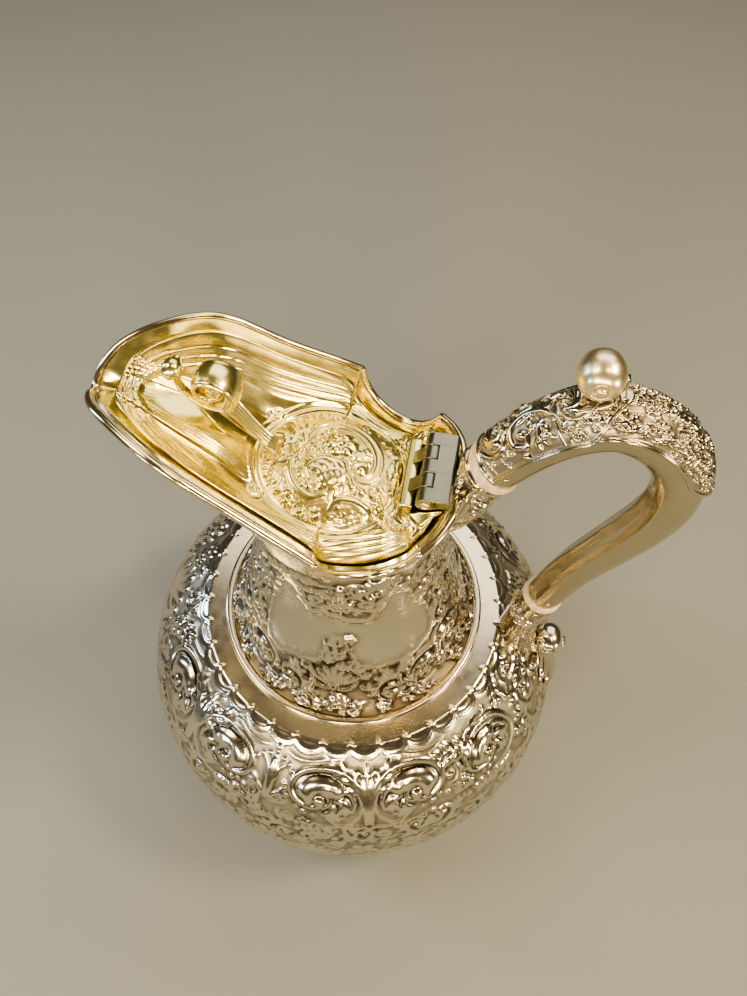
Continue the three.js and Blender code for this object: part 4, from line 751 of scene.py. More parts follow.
upper_cut = int(np.argmin(np.abs(body_run - (ROUNDEL_RUN + 17))))
lower_cut = int(np.argmin(np.abs(body_run - (LOWER_RUN + 18))))
last_row = len(body_rows) - 1
for name, first, last in (("body_shoulder", 0, upper_cut), ("body_bulge", upper_cut, lower_cut),
                          ("body_underside", lower_cut, last_row)):
    ring = slice(first, last + 1)
    inner = (spread_rows(base[ring]) - spread_rows(normals[ring]) * BODY_SHEET)[::-1].copy()
    inner[..., 2] = np.clip(inner[..., 2], FLOOR_HEIGHT + BODY_SHEET, SHOULDER_HEIGHT - BODY_SHEET)
    inner_normals = -spread_rows(normals[ring])[::-1]
    if last == last_row:
        middle, middle_normals = np.zeros((2, BODY_COLUMNS, 3)), np.zeros((2, BODY_COLUMNS, 3))
        middle[:, :, 2] = [[FLOOR_HEIGHT], [FLOOR_HEIGHT + BODY_SHEET]]
        middle_normals[:, :, 2] = [[-1], [1]]
        inner = np.concatenate([middle, inner])
        inner_normals = np.concatenate([middle_normals, inner_normals])
    plain = np.zeros((len(inner), BODY_COLUMNS))
    piece = grid_piece(name, np.concatenate([raised[ring], inner])[:, ::-1], ON_JUG, True,
                       np.concatenate([body_recess[ring], plain])[:, ::-1],
                       np.concatenate([body_matting[ring], plain])[:, ::-1], last - first)
    skin_normals = np.concatenate([raised_normals[ring], inner_normals])[:, ::-1]
    piece.data.normals_split_custom_set_from_vertices(skin_normals.reshape(-1, 3).astype(np.float32))
    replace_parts(piece, "body_bowl")
    print(name, len(piece.data.polygons), "faces")

# %% [markdown]
# ## Foot and neck ring
# The foot is a low turned ring, hidden under the body in the photograph, and the neck ring is a bright
# half-round wire with a step, where the neck is soldered to the shoulder.

# %% Turned rings
TURNED_COLUMNS, RING_BASE = 256, 105.3


def turned(name, profile, node):
    rows = soft_loop(profile)
    angle = np.linspace(0, 2 * math.pi, TURNED_COLUMNS, endpoint=False)
    piece = grid_piece(name, on_circle(rows[:, :1], angle, rows[:, 1:]), ON_JUG, True)
    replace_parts(piece, node)
    print(name, len(rows), "rows")


turned("foot_moulding", [(38.5, 0), (44, 0), (44.1, 1.2), (43.6, 2.1), (42.4, 3.1), (41.8, 4.4), (42, 6), (38.5, 6)],
       "foot_ring")
turned("neck_ring_wire", [(44.2, RING_BASE), (46.4, RING_BASE), (46.5, RING_BASE + 0.75), (46.2, RING_BASE + 1.4),
                          (45.5, RING_BASE + 1.65), (44.9, RING_BASE + 1.5), (44.2, RING_BASE + 1.55)], "neck_ring")

# %% [markdown]
# ## The mouth's outline
# Seen from above the rim runs from a round spout tip along a smooth edge to a cusp on each side, then
# scoops down to a second cusp and closes behind the hinge. The outline is kept as 48 stations, and
# each smooth stretch between two cusps is refined by a curve through its stations.

# %% Rim stations
REFINE = 12
WAIST_RADIUS, WAIST_HEIGHT = 28.0, 165.0
SPOUT, TIP_Z, CREST_Z = 67.8, 209.6, 217.4
CUSP_X, CUSP_Y, CUSP_Z = -3.0, 33.0, 194.8
SCOOP_Z, BACK_CUSP_X, BACK_CUSP_Y, BACK_CUSP_Z = 183.2, 22.3, 23.2, 191.0
BACK_X, BACK_Z = 30.6, 194.4
MOUTH_SHEET, WIRE, WIRE_PLAY = 1.4, 2.2, 0.3
FLANGE, TIP_FLANGE, FLANGE_DROP, TIP_STATIONS = 0.9, 3.4, 2.2, 2.6
cusp = np.array([CUSP_X, CUSP_Y, CUSP_Z])
back_cusp = np.array([BACK_CUSP_X, BACK_CUSP_Y, BACK_CUSP_Z])
crest_lift = CREST_Z - CUSP_Z
front_stretch = [
    (-SPOUT, 0, TIP_Z), (-SPOUT * 0.98, CUSP_Y * 0.15, TIP_Z * 0.6 + CREST_Z * 0.4),
    (-SPOUT * 0.93, CUSP_Y * 0.31, TIP_Z * 0.25 + CREST_Z * 0.75), (-SPOUT * 0.82, CUSP_Y * 0.5, CREST_Z),
    (-SPOUT * 0.6, CUSP_Y * 0.76, CUSP_Z + crest_lift * 0.94),
    (-SPOUT * 0.32, CUSP_Y * 0.88, CUSP_Z + crest_lift * 0.45), cusp,
]


def scoop_point(share, wide, depth):
    return (CUSP_X + (BACK_CUSP_X - CUSP_X) * share, BACK_CUSP_Y + (CUSP_Y - BACK_CUSP_Y) * wide,
            CUSP_Z + (BACK_CUSP_Z - CUSP_Z) * share - (CUSP_Z - SCOOP_Z) * depth)


scoop_stretch = [cusp, scoop_point(0.14, 0.79, 0.6), scoop_point(0.34, 0.57, 0.86),
                 scoop_point(0.57, 0.35, 0.9), scoop_point(0.8, 0.14, 0.62), back_cusp]
back_stretch = [back_cusp, (BACK_X * 0.91, BACK_CUSP_Y * 0.7, BACK_Z * 0.6 + BACK_CUSP_Z * 0.4),
                (BACK_X * 0.98, BACK_CUSP_Y * 0.38, BACK_Z), (BACK_X, 0, BACK_Z)]
FRONT_STEPS, SCOOP_STEPS, BACK_STEPS = 13, 7, 4
stretches = [through(points, 200, steps + 1) for points, steps in (
    (front_stretch, FRONT_STEPS), (scoop_stretch, SCOOP_STEPS), (back_stretch, BACK_STEPS))]
half_rim = np.concatenate([stretches[0][:-1], stretches[1][:-1], stretches[2]])
rim = np.concatenate([half_rim, half_rim[1:-1][::-1] * np.array([1, -1, 1])])
STATIONS = len(rim)


def inset(loop, distance, drop=0.0):
    before, after = np.roll(loop, 1, 0), np.roll(loop, -1, 0)
    first = unit((loop - before) * np.array([1, 1, 0]))
    second = unit((after - loop) * np.array([1, 1, 0]))
    along = unit(first + second)
    mitre = 1 / np.maximum(np.sum(along * first, 1), 0.8)
    d = np.broadcast_to(distance, len(loop)) * mitre
    moved = loop.copy()
    moved[:, 0] += along[:, 1] * d
    moved[:, 1] -= along[:, 0] * d
    moved[:, 2] -= drop
    return moved


def refine(loop, factor=REFINE, straight_back=False):
    a, b = FRONT_STEPS, FRONT_STEPS + SCOOP_STEPS
    corners = [-a, a, b, STATIONS - b, STATIONS - a]
    out = []
    for start, stop in zip(corners[:-1], corners[1:]):
        stations = loop[np.arange(start, stop + 1) % STATIONS]
        if straight_back and start == b:
            out.append(read_at(np.arange((stop - start) * factor) / factor, np.arange(len(stations)), stations))
        else:
            out.append(through(stations, factor)[:-1])
    return np.roll(np.concatenate(out), -a * factor, 0)


station = np.arange(STATIONS)
from_tip = np.minimum(station, STATIONS - station)
tip_share = np.exp(-((from_tip / TIP_STATIONS) ** 2))
edge = inset(rim, WIRE + WIRE_PLAY)
throat = inset(edge, FLANGE + (TIP_FLANGE - FLANGE) * tip_share, FLANGE_DROP * (1 - tip_share))
fine_edge, fine_throat = refine(edge), refine(throat)
COLUMNS = len(fine_edge)
print("rim points:", COLUMNS)

# %% [markdown]
# ## Neck and mouth
# The neck rises from the ring as a cone, narrows to 56 mm at the waist and flares into the mouth. Its
# lower part is chased, with a plain polished reserve on each side. The inside of the mouth is gilt.

# %% Neck surface
NECK_PROFILE = np.array([(43.9, 105.3), (38.6, 116), (33.6, 135), (29.9, 150), (WAIST_RADIUS, WAIST_HEIGHT)])
NECK_ROWS, FLARE_ROWS, LINING_ROWS = 112, 46, 16
LINING = MOUTH_SHEET * 1.1


def neck_radius_line(count):
    p = np.concatenate([NECK_PROFILE[:1], NECK_PROFILE, NECK_PROFILE[-1:]])
    out = []
    for a, b, c, d in zip(p[:-3], p[1:-2], p[2:-1], p[3:]):
        t = (np.arange(60) / 60)[:, None]
        out.append(b + (c - a) / 2 * t + (-3 * b + 3 * c - (c - a) - (d - b) / 2) * t ** 2
                   + (2 * b - 2 * c + (c - a) / 2 + (d - b) / 2) * t ** 3)
    line = np.concatenate([*out, NECK_PROFILE[-1:]])
    return read_at(np.linspace(0, len(line) - 1, count), np.arange(len(line)), line)


even_angle = math.pi - 2 * math.pi * (np.arange(COLUMNS) / REFINE) / STATIONS
rim_angle = np.unwrap(np.arctan2(fine_throat[:, 1], fine_throat[:, 0]))
rim_angle = rim_angle - rim_angle[0] + math.pi


def mouth_rows(neck_count, flare_count, swell):
    rows = []
    for i, (radius, height) in enumerate(neck_radius_line(neck_count)):
        angle = even_angle + (rim_angle - even_angle) * 0.5 * i / (neck_count - 1)
        rows.append(on_circle(radius + swell, angle, height))
    for i in range(1, flare_count + 1):
        t = i / flare_count
        angle = even_angle + (rim_angle - even_angle) * (0.5 + t * 0.5)
        waist = on_circle(WAIST_RADIUS, angle, WAIST_HEIGHT)
        row = waist + (fine_throat - waist) * np.array([t ** 1.6, t ** 1.6, t])
        rows.append(refine(inset(row[::REFINE], -swell)) if swell else row)
    return np.array(rows)


outside = mouth_rows(NECK_ROWS, FLARE_ROWS, 0.0)
inside = mouth_rows(LINING_ROWS, LINING_ROWS, -LINING)
neck_angle = np.arctan2(outside[..., 1], outside[..., 0])
neck_radius = np.hypot(outside[..., 0], outside[..., 1])
neck_relief = Relief(neck_angle, outside[..., 2], neck_radius)
print("neck rows:", len(outside))

# %% [markdown]
# The reserve has a leafy, uneven outline: a wide field with two lobes that reach up beside a hanging
# leaf, and a flame of leaves that pushes into it from below. It is drawn as a closed line of turn angle
# and height, mirrored for the other side.

# %% Chase the neck
reserve = [(-131, 141), (-130, 152), (-123, 167), (-115, 171), (-111, 161), (-104, 156), (-94, 157), (-84, 155),
           (-74, 153.5), (-65, 156), (-59, 165), (-51, 168), (-42, 158), (-32, 145), (-33, 136), (-42, 131.5),
           (-52, 130), (-64, 130), (-73, 131.5), (-79.5, 138.5), (-84, 145), (-88, 147), (-93, 143), (-97, 136.5),
           (-99.5, 132), (-112, 129.5), (-122, 127), (-128, 130)]
CHASE_TOP, RESERVE_MIDDLE, FLAME_HALF, FLAME_TOP = 178.0, -86, 5, 147
OUT_OF_REACH = 99.0


def inside_of(x, y, corners):
    hit = np.zeros(x.shape, bool)
    for (x0, y0), (x1, y1) in zip(corners, corners[1:] + corners[:1]):
        if y0 != y1:
            hit ^= ((y0 > y) != (y1 > y)) & (x < (x1 - x0) * (y - y0) / (y1 - y0) + x0)
    return hit


def distance_to(relief, line, mirror):
    best = np.full(relief.h.shape, OUT_OF_REACH)
    points = [(math.radians(a) * mirror, z) for a, z in line]
    for (a0, z0), (a1, z1) in zip(points, points[1:] + points[:1]):
        dx, dy = relief.offset(a0, z0)
        ex, ey = (a1 - a0) * relief.turn_length, z1 - z0
        t = np.clip((dx * ex + dy * ey) / (ex * ex + ey * ey + 1e-9), 0, 1)
        best = np.minimum(best, np.hypot(dx - t * ex, dy - t * ey))
    return best


reserve_line = [tuple(p) for p in through(reserve + reserve[:1], 3)[:-1]]
neck_gap = np.full(neck_relief.h.shape, OUT_OF_REACH)
for mirror in (1, -1):
    inner = inside_of((np.degrees(neck_angle) * mirror + 180) % 360 - 180, outside[..., 2], reserve_line)
    near = distance_to(neck_relief, reserve_line, mirror)
    neck_relief.bare = np.where(inner, 1.0, neck_relief.bare)
    neck_gap = np.where(inner, -near, np.minimum(neck_gap, near))
wobble = 0.4 * np.sin(neck_angle * 34) + 0.3 * np.sin(outside[..., 2] * 1.3)
neck_relief.h = np.maximum(neck_relief.h, 0.55 * np.exp(-((neck_gap - 0.9 + wobble) / 0.75) ** 2))
for side in (1, -1):
    centre = math.radians(RESERVE_MIDDLE) * side
    flame = centre - math.radians(3) * side
    neck_relief.press(SHELL, flame, 123.5, 0, 0.85, False, 1.15)
    under_flame = (np.abs(neck_relief.offset(centre, 0)[0]) < FLAME_HALF) & (outside[..., 2] < FLAME_TOP)
    neck_relief.bare = np.where(under_flame, 0.0, neck_relief.bare)
    neck_relief.press(SPRIG, flame, 139.5, math.radians(58), 0.95, False, 1.1)
    neck_relief.press(ROSETTE, centre, 111.5, 0, 0.9, False, 1.1)
    neck_relief.press(SHEAF, centre, 166, math.pi, 0.56, False, 1.1)
    for hand in (1, -1):
        for motif, degrees, height, lean, scale, flip, high in (
                (ROUNDEL, 47, 118.5, 0.3, 0.58, hand == 1, 1.0), (SPRAY, 24, 117.5, 0.6, 0.72, hand == -1, 1.1),
                (SPRAY, 62, 138, 1.5, 0.72, hand == 1, 1.0), (FEATHER, 56, 158, 1.2, 0.62, hand == 1, 1.0),
                (CURL, 15, 163, 2.0, 0.9, hand == -1, 1.0)):
            neck_relief.press(motif, centre + hand * math.radians(degrees), height, lean * hand, scale, flip, high)
for centre in (0.0, math.pi):
    for hand in (1, -1):
        neck_relief.press(ROUNDEL, centre + 0.36 * hand, 124, 0.3 * hand, 0.66, hand == 1)
    neck_relief.press(SHEAF, centre, 146, 0, 0.7)
chased = (107.5, CHASE_TOP - 3)
counts = [neck_relief.fill([SPRAY, FEATHER], 500, full_turn, chased, 21, 0.2, (0.45, 0.6), 1.1),
          neck_relief.fill([SPRIG, BERRIES, CURL, ROSETTE], 1800, full_turn, chased, 22, 0.2, (0.45, 0.7), 1.1),
          neck_relief.fill([PELLET], 700, full_turn, (106.5, CHASE_TOP - 2), 23, 0.1, (0.5, 0.85), 1.0)]
print("neck sprays, sprigs and beads:", counts)

# %% [markdown]
# The neck is raised like the body: the height of the chasing is added along the normals, and it fades
# out at the ring and towards the plain flare. The thin edge of the mouth and the gilt lining close the
# same skin, so that the mouth has a real thickness.

# %% Raise the neck
NECK_RISE, NECK_SHADE_AND_TARNISH, DARKEST = 1.3, 1.25, 0.92
low_edge = smoothstep(outside[..., 2], 105.3, 106.6)
fade = (1 - smoothstep(outside[..., 2], CHASE_TOP - 2, CHASE_TOP + 1)) * low_edge
neck_ground = np.where(neck_relief.bare > 0.5, 0.0, smoothstep(neck_gap, 0.2, 1.2)) * fade
neck_relief.h = smoothed(neck_relief.h, 1)
neck_height = neck_relief.h * fade - RELIEF_SUNK * neck_ground
# The neck's darkening is tarnish and painted shade in the hollows, made stronger here and capped at DARKEST.
neck_recess = np.clip(tarnish_and_shade(neck_relief.h * fade, neck_ground) * NECK_SHADE_AND_TARNISH, 0, DARKEST)
neck_matting = neck_ground * matted(neck_relief.h)
neck_normals = grid_normals(outside)
if np.mean(neck_normals[60, :, 0] * outside[60, :, 0]) < 0:
    neck_normals = -neck_normals
neck_raised = outside + neck_normals * (neck_height * NECK_RISE)[..., None]
inner_edge = refine(inset(edge, MOUTH_SHEET * 0.55, -MOUTH_SHEET * 0.5))
neck_points = np.concatenate([neck_raised, fine_edge[None], inner_edge[None], inside[::-1]])
plain = np.zeros((len(neck_points) - len(outside), COLUMNS))
neck_piece = grid_piece("chased_neck", neck_points, ON_JUG, True, np.concatenate([neck_recess, plain]),
                        np.concatenate([neck_matting, plain]), len(outside) - 1, (len(outside), len(outside) + 1))
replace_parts(neck_piece, "neck_and_mouth")
print("chased_neck", len(neck_piece.data.polygons), "faces")

# %% [markdown]
# ## Rim wire
# A drawn wire finishes the rim, worn to pale gold. A round section is carried along the rim's line and
# kept upright all the way.

# %% Rim wire
WIRE_SIDES = 20
wire_line = refine(inset(rim, WIRE / 2, MOUTH_SHEET * 0.3))
wire_along = unit(np.roll(wire_line, -1, 0) - np.roll(wire_line, 1, 0))
sideways = unit(UPRIGHT - wire_along * wire_along[:, 2:])
wire_angle = np.linspace(0, 2 * math.pi, WIRE_SIDES, endpoint=False)[None, :, None]
wire_points = (wire_line[:, None] + sideways[:, None] * (WIRE / 2 * np.cos(wire_angle))
               + np.cross(wire_along, sideways)[:, None] * (WIRE / 2 * np.sin(wire_angle)))
wire = grid_piece("rim_wire_moulding", wire_points, ("root", pale_gilt, "sterling_silver"), True)
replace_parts(wire, "rim_wire")
print("rim wire", round(float(run_of(wire_line)[-1])), "mm long")

# %% [markdown]
# ## The lid
# The lid is gilt and lies inside the mouth. A stepped border of reeds follows its edge, a flat ridge
# with reeded sides runs back from a crinkled leaf at the front, and an oval dome at the rear is chased
# with C-scrolls round a flower. The plate is one sheet, measured out from its middle to its edge.

# %% Lid surface
LID_SHEET, LID_MIDDLE, LID_GAP = 1.2, -15.0, 0.35
LID_FRONT, LID_FRONT_Z = 59.2, 212.5
HINGE_X, HINGE_Z = 21.0, 195.8
KNUCKLES, KNUCKLE_LONG, KNUCKLE_GAP = 5, 4.1, 0.3
HINGE_HALF = (KNUCKLES * KNUCKLE_LONG + (KNUCKLES - 1) * KNUCKLE_GAP) / 2
LID_REAR, LID_REAR_Z, LID_LOW_Z = 17.4, 191.6, 187.6
DOME_X, DOME_LONG, DOME_WIDE, DOME_HIGH = -5.5, 39.0, 37.0, 6.4
LID_REFINE, EDGE_BLEND = 11, 12.0

throat_inside = inset(throat, LINING + LID_GAP, -0.4)
lid_edge = throat_inside.copy()
front_part = lid_edge[:, 0] < -LID_FRONT
lid_edge[front_part, 0], lid_edge[front_part, 2] = -LID_FRONT, LID_FRONT_Z
beside = np.abs(lid_edge[:, 1]) > HINGE_HALF + 0.6
lid_edge[beside, 0] = np.minimum(lid_edge[beside, 0], HINGE_X + 5.2)
rear = ~beside & (lid_edge[:, 0] > 0)
lid_edge[rear, 0], lid_edge[rear, 2] = LID_REAR, LID_REAR_Z
fine_lid = refine(lid_edge, LID_REFINE, True)
free_to_round = (fine_lid[:, 0] < 12)[:, None]
for _ in range(50):
    fine_lid = np.where(free_to_round, softened(fine_lid), fine_lid)
at_hinge = (fine_lid[:, 0] > LID_REAR) & (np.abs(fine_lid[:, 1]) < HINGE_HALF + 0.6)
fine_lid[at_hinge, 0], fine_lid[at_hinge, 2] = LID_REAR, LID_REAR_Z
centre_shares = [(0.847, 0.803), (0.676, 0.518), (0.558, 0.225), (0.426, 0.072), (0.295, 0.016), (0.124, 0),
                 (0.051, 0.032)]
centre_line = through([(-LID_FRONT, lid_edge[0, 2]),
                       *[(LID_REAR - (LID_REAR + LID_FRONT) * a, LID_LOW_Z + (LID_FRONT_Z - LID_LOW_Z) * r)
                         for a, r in centre_shares], (LID_REAR, LID_REAR_Z)], 20)


def dish_height(x):
    return np.interp(x, centre_line[:, 0], centre_line[:, 1])


def dish_surface(x, y):
    nearest, edge_z = np.full(x.shape, OUT_OF_REACH), np.zeros(x.shape)
    for a, b in zip(fine_lid, np.roll(fine_lid, -1, 0)):
        e = (b - a)[:2]
        t = np.clip(((x - a[0]) * e[0] + (y - a[1]) * e[1]) / (e @ e + 1e-9), 0, 1)
        gap = np.hypot(x - a[0] - t * e[0], y - a[1] - t * e[1])
        edge_z = np.where(gap < nearest, a[2] + t * (b[2] - a[2]), edge_z)
        nearest = np.minimum(nearest, gap)
    reach = np.clip(1 - nearest / EDGE_BLEND, 0, 1) ** 2
    return nearest, dish_height(x) * (1 - reach) + edge_z * reach


def lid_sheet(shares):
    x = LID_MIDDLE + (fine_lid[None, :, 0] - LID_MIDDLE) * shares[:, None]
    y = fine_lid[None, :, 1] * shares[:, None]
    to_edge, dish = dish_surface(x, y)
    oval = np.hypot((x - DOME_X) / (DOME_LONG / 2), y / (DOME_WIDE / 2))
    return x, y, to_edge, oval, dish + DOME_HIGH * np.clip(1 - oval ** 2, 0, 1) ** 0.7


lid_x, lid_y, from_edge, oval, lid_z = lid_sheet(np.concatenate([[0.004], np.linspace(0.02, 1, 128)]))
print("lid is", round(LID_FRONT + LID_REAR), "mm long, with", lid_x.shape[1], "points round its edge")

# %% [markdown]
# The dome is chased with a large C-scroll round a flower, a curling leaf, a second scroll on the left
# and a third along the near side, inside a rim of small leaves. Two volutes stand where the ridge
# meets the dome, and the leaf at the front is a crinkled line across the ridge.

# %% Chase the lid
DOME_FIELD, LEAF_STEPS = (DOME_X - 19, DOME_X + 19), 23
oval_plate = Motif(21, 0.15)
for a in np.radians(np.arange(-155, 156, 10)):
    oval_plate.frond([(15.2 * math.cos(a), 14.4 * math.sin(a)), (17.4 * math.cos(a + 0.1), 16.4 * math.sin(a + 0.1))],
                     3.0, 0.8, 2)
    oval_plate.bead(18.2 * math.cos(a + 0.02), 17.2 * math.sin(a + 0.02), 0.75, 0.9)
oval_plate.frond([(-8.4, 4.4), (-12.4, 5.4), (-16.4, 3.6)], 6.4, 1.1, 3)
oval_plate.frond([(-8.8, 7.4), (-12.6, 10.6), (-14.6, 9.0)], 5.6, 1.1, 2)
oval_plate.frond([(-10.6, -2.4), (-14.2, -3.6), (-16.8, -1.6)], 5.4, 1.1, 2)
oval_plate.strand([(-6.2, 1.8), (-7.4, 6.8), (-4.2, 11.6), (1.6, 13.2), (7.6, 11.4), (12.2, 6.4), (13.6, 0.8),
                   (12.0, -3.8), (8.8, -4.2), (7.6, -1.6), (9.6, 0.0)], 3.0, 1.25, (0.4, 0.8), channel=True)
oval_plate.bead(9.4, -1.9, 1.7, 1.4)
for line in ([(2.4, 11.4), (6.6, 9.4), (9.8, 5.6)], [(3.0, 10.2), (6.4, 8.2), (8.8, 4.8)]):
    oval_plate.strand(line, 1.1, 1.2, (0.4, 0.6))
oval_plate.strand([(-10.6, -1.2), (-11.2, -6.0), (-8.4, -10.8), (-3.2, -13.2), (0.2, -11.4)], 2.2, 1.3, (0.6, 0.7))
oval_plate.curl(-8.6, -3.4, 2.3, 1.3, 1.2, 0.6, 1.1, -1)
oval_plate.strand([(-4.8, -7.8), (-6.0, -3.8), (-3.2, -1.2), (1.2, -0.8), (4.6, -3.0)], 2.4, 1.4, (0.6, 0.5))
oval_plate.frond([(4.4, -3.2), (0.8, -4.2), (-2.8, -6.8)], 7.4, 1.2, 4)
oval_plate.frond([(5.2, -4.2), (3.8, -7.4), (1.0, -10.2)], 5.6, 1.1, 3)
oval_plate.strand([(2.4, -15.8), (3.6, -12.6), (8.0, -11.4), (12.6, -12.6), (14.4, -15.2)], 2.4, 1.35, (0.7, 0.7))
oval_plate.curl(4.2, -14.6, 2.0, 1.3, 1.2, 0.4, 1.0, 1)
oval_plate.curl(13.0, -14.2, 1.8, 1.2, 1.2, 2.4, 1.0, -1)
oval_plate.flower(1.8, 5.4, 4.8, 1.3, 6, 0.2)
oval_plate.flower(6.4, 3.2, 2.2, 1.2, 5, 0.5)
for x, y, radius in ((-2.4, 2.2, 1.1), (-3.8, 8.4, 1.0), (-7.6, -7.0, 1.2), (-4.8, -10.2, 1.1), (15.4, -6.0, 1.2),
                     (10.4, -8.4, 1.3), (7.4, -7.6, 1.1), (13.4, -8.8, 1.0)):
    oval_plate.bead(x, y, radius, 1.1)
lid_relief = Relief(lid_x, lid_y)
lid_relief.press(oval_plate, DOME_X, 0, 0, 0.92, False, 0.75)
lid_relief.bare = np.where(oval > 0.97, 1.0, 0.0)
counts = [lid_relief.fill([SPRIG, CURL, FEATHER], 900, DOME_FIELD, (-18, 18), 31, 0.3, (0.28, 0.46), 0.9),
          lid_relief.fill([PELLET], 900, DOME_FIELD, (-18, 18), 32, 0.12, (0.4, 0.7), 0.8)]
on_dome = 1 - smoothstep(oval, 0.94, 1.0)
dome_relief = smoothed(lid_relief.h, 1) * on_dome

front_leaf = Motif(9)
crinkle = np.linspace(-5.5, 5.5, LEAF_STEPS)
front_leaf.strand([(0.9 * math.cos(k * math.pi / 2) + 0.05 * y * y - 1.4, y) for k, y in enumerate(crinkle)],
                  0.9, 0.7, (0.5, 0.5), steps=3)
for y in (-3.4, 0.0, 3.4):
    front_leaf.strand([(-1.2, y), (1.6, y * 0.9), (4.4, y * 0.7)], 1.5, 0.3, (0.9, 0.2))
ridge_work = Relief(lid_x, lid_y)
for hand in (1, -1):
    ridge_work.press(CURL, -23.5, 12.6 * hand, 0.8 * hand, 0.6, hand == -1, 0.8)
ridge_work.press(front_leaf, -54.6, 0)
past_oval = (oval - 1.0) * 18
dome_rim = 0.7 * np.exp(-((past_oval - 0.5) / 0.6) ** 2) + 0.35 * np.exp(-((past_oval - 2.0) / 0.5) ** 2)
print("dome sprigs and beads:", counts)

# %% [markdown]
# Border and ridge are mouldings. The border has a broad round edge and three reeds within 6 mm of it,
# and the ridge widens from 12 mm at the leaf to 21 mm at the dome, with four fine reeds on each side.

# %% Mouldings of the lid
BORDER_REEDS = ((0.85, 1.0, 1.0), (0.5, 2.7, 0.6), (0.42, 4.0, 0.55), (0.34, 5.2, 0.5))
RIDGE_REEDS = (0.7, 1.7, 2.7, 3.7)
UNDER_ROWS = 30


def reed(distance, centre, half):
    return np.sqrt(np.clip(1 - ((distance - centre) / half) ** 2, 0, 1))


hinge_free = 1 - smoothstep(lid_x, 11.0, 15.5) * (1 - smoothstep(np.abs(lid_y), 11.5, 15.5))
border = sum(high * reed(from_edge, centre, half) for high, centre, half in BORDER_REEDS) * hinge_free
border_step = 0.4 * (1 - smoothstep(from_edge, 5.6, 6.6)) * hinge_free
away = np.interp(lid_x, [-58, -26], [6.0, 10.4]) - np.abs(lid_y)
ridge = 1.1 * smoothstep(away, -0.4, 0.6)
for centre in RIDGE_REEDS:
    ridge = ridge + 0.3 * reed(away, centre, 0.45)
ridge = ridge * (1 - smoothstep(lid_x, -29.0, -24.5)) * smoothstep(from_edge, 0.5, 1.5)
lid_lift = border + border_step + ridge + dome_relief * 0.9 + ridge_work.h * 0.9 + dome_rim
lid_top = np.stack([lid_x, lid_y, lid_z + lid_lift], -1)
under_x, under_y, _, _, under_z = lid_sheet(np.linspace(0.02, 1, UNDER_ROWS))
lid_under = np.stack([under_x, under_y, under_z - LID_SHEET], -1)[::-1]
plain = np.zeros((len(lid_under), lid_x.shape[1]))
# Painted shade on the gilt lid: on the dome's low ground between the chased forms and in the grooves between the
# border's reeds.
lid_recess = np.maximum(on_dome * (1 - smoothstep(lid_relief.h, 0, 0.5)) * 0.4,
                        0.4 * np.exp(-((from_edge - 2.05) / 0.2) ** 2) + 0.3 * np.exp(-((from_edge - 3.35) / 0.2) ** 2))
lid_piece = grid_piece("gilt_lid", np.concatenate([lid_top, lid_under]), ON_LID, True,
                       np.concatenate([lid_recess, plain]), np.concatenate([on_dome * matted(lid_relief.h), plain]),
                       sharp_rows=(len(lid_top) - 1, len(lid_top)))
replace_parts(lid_piece, "lid_plate", "lid_border_far", "lid_border_near", "lid_front_leaf")
print("gilt_lid", len(lid_piece.data.polygons), "faces")


def lid_height(x, y):
    gap = np.hypot(lid_x - x, lid_y - y)
    return float(lid_top.reshape(-1, 3)[np.argmin(gap), 2])


# %% [markdown]
# Beside the hinge the lid's plate stops short, and a small curved sheet fills each corner out to the
# mouth. It is drawn between two lines, the side of the hinge and the outline of the mouth, and carries
# the round edge of the border on.

# %% Corners beside the hinge
CORNER_STEPS, CORNER_ROWS, CORNER_SHEET = 28, 12, 0.8
rear_outline = throat_inside[(throat_inside[:, 0] > 10) & (throat_inside[:, 1] > 9)]
rear_outline = rear_outline[np.argsort(rear_outline[:, 1])]
corner_end = np.interp(-15.5, -rear_outline[:, 0], rear_outline[:, 1])
corner_y = np.linspace(HINGE_HALF + 0.35, corner_end, CORNER_STEPS)
rim_x, rim_z = (np.interp(corner_y, rear_outline[:, 1], rear_outline[:, k]) for k in (0, 2))
corner_out = np.stack([np.minimum(rim_x, HINGE_X + 5.0), corner_y, rim_z], 1)
corner_x = np.linspace(HINGE_X + 4.6, LID_REAR - 1.6, CORNER_STEPS)
corner_in = np.stack([corner_x, np.full(CORNER_STEPS, HINGE_HALF + 0.2),
                      np.interp(corner_x, [LID_REAR, HINGE_X + 4.6], [LID_REAR_Z, 194.6])], 1)
share = np.linspace(0, 1, CORNER_ROWS)[:, None, None]
sheet = corner_in * (1 - share) + corner_out * share
to_rim = np.linalg.norm(sheet - corner_out, axis=2)
sheet[..., 2] += 0.7 * reed(to_rim, 0.9, 0.9) * smoothstep(share[..., 0], 0.1, 0.5)
skin = np.concatenate([sheet, sheet[::-1] - CORNER_SHEET * UPRIGHT]).transpose(1, 0, 2)
for hand, side_name in ((-1, "near"), (1, "far")):
    corner = grid_piece(f"lid_corner_{side_name}", closed(skin * [1, hand, 1]), ON_LID)
    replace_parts(corner, "lid_plate")
    print(corner.name, "made")


# %% [markdown]
# ## Small cast and rolled parts
# The scroll on the lid, the thumb piece and the lower scroll are strips rolled up at one end. A strip
# is swept along its side view with a changing width, and a rolled end is spun round a profile with a
# hollow and a small bead in it, the eye of the volute.

# %% Strips, spun forms and straight bars
LIP, REED_RISE, EYE = 0.22, 0.22, 0.26
BEVELLED_ROWS = (1, 3, 4, 6)


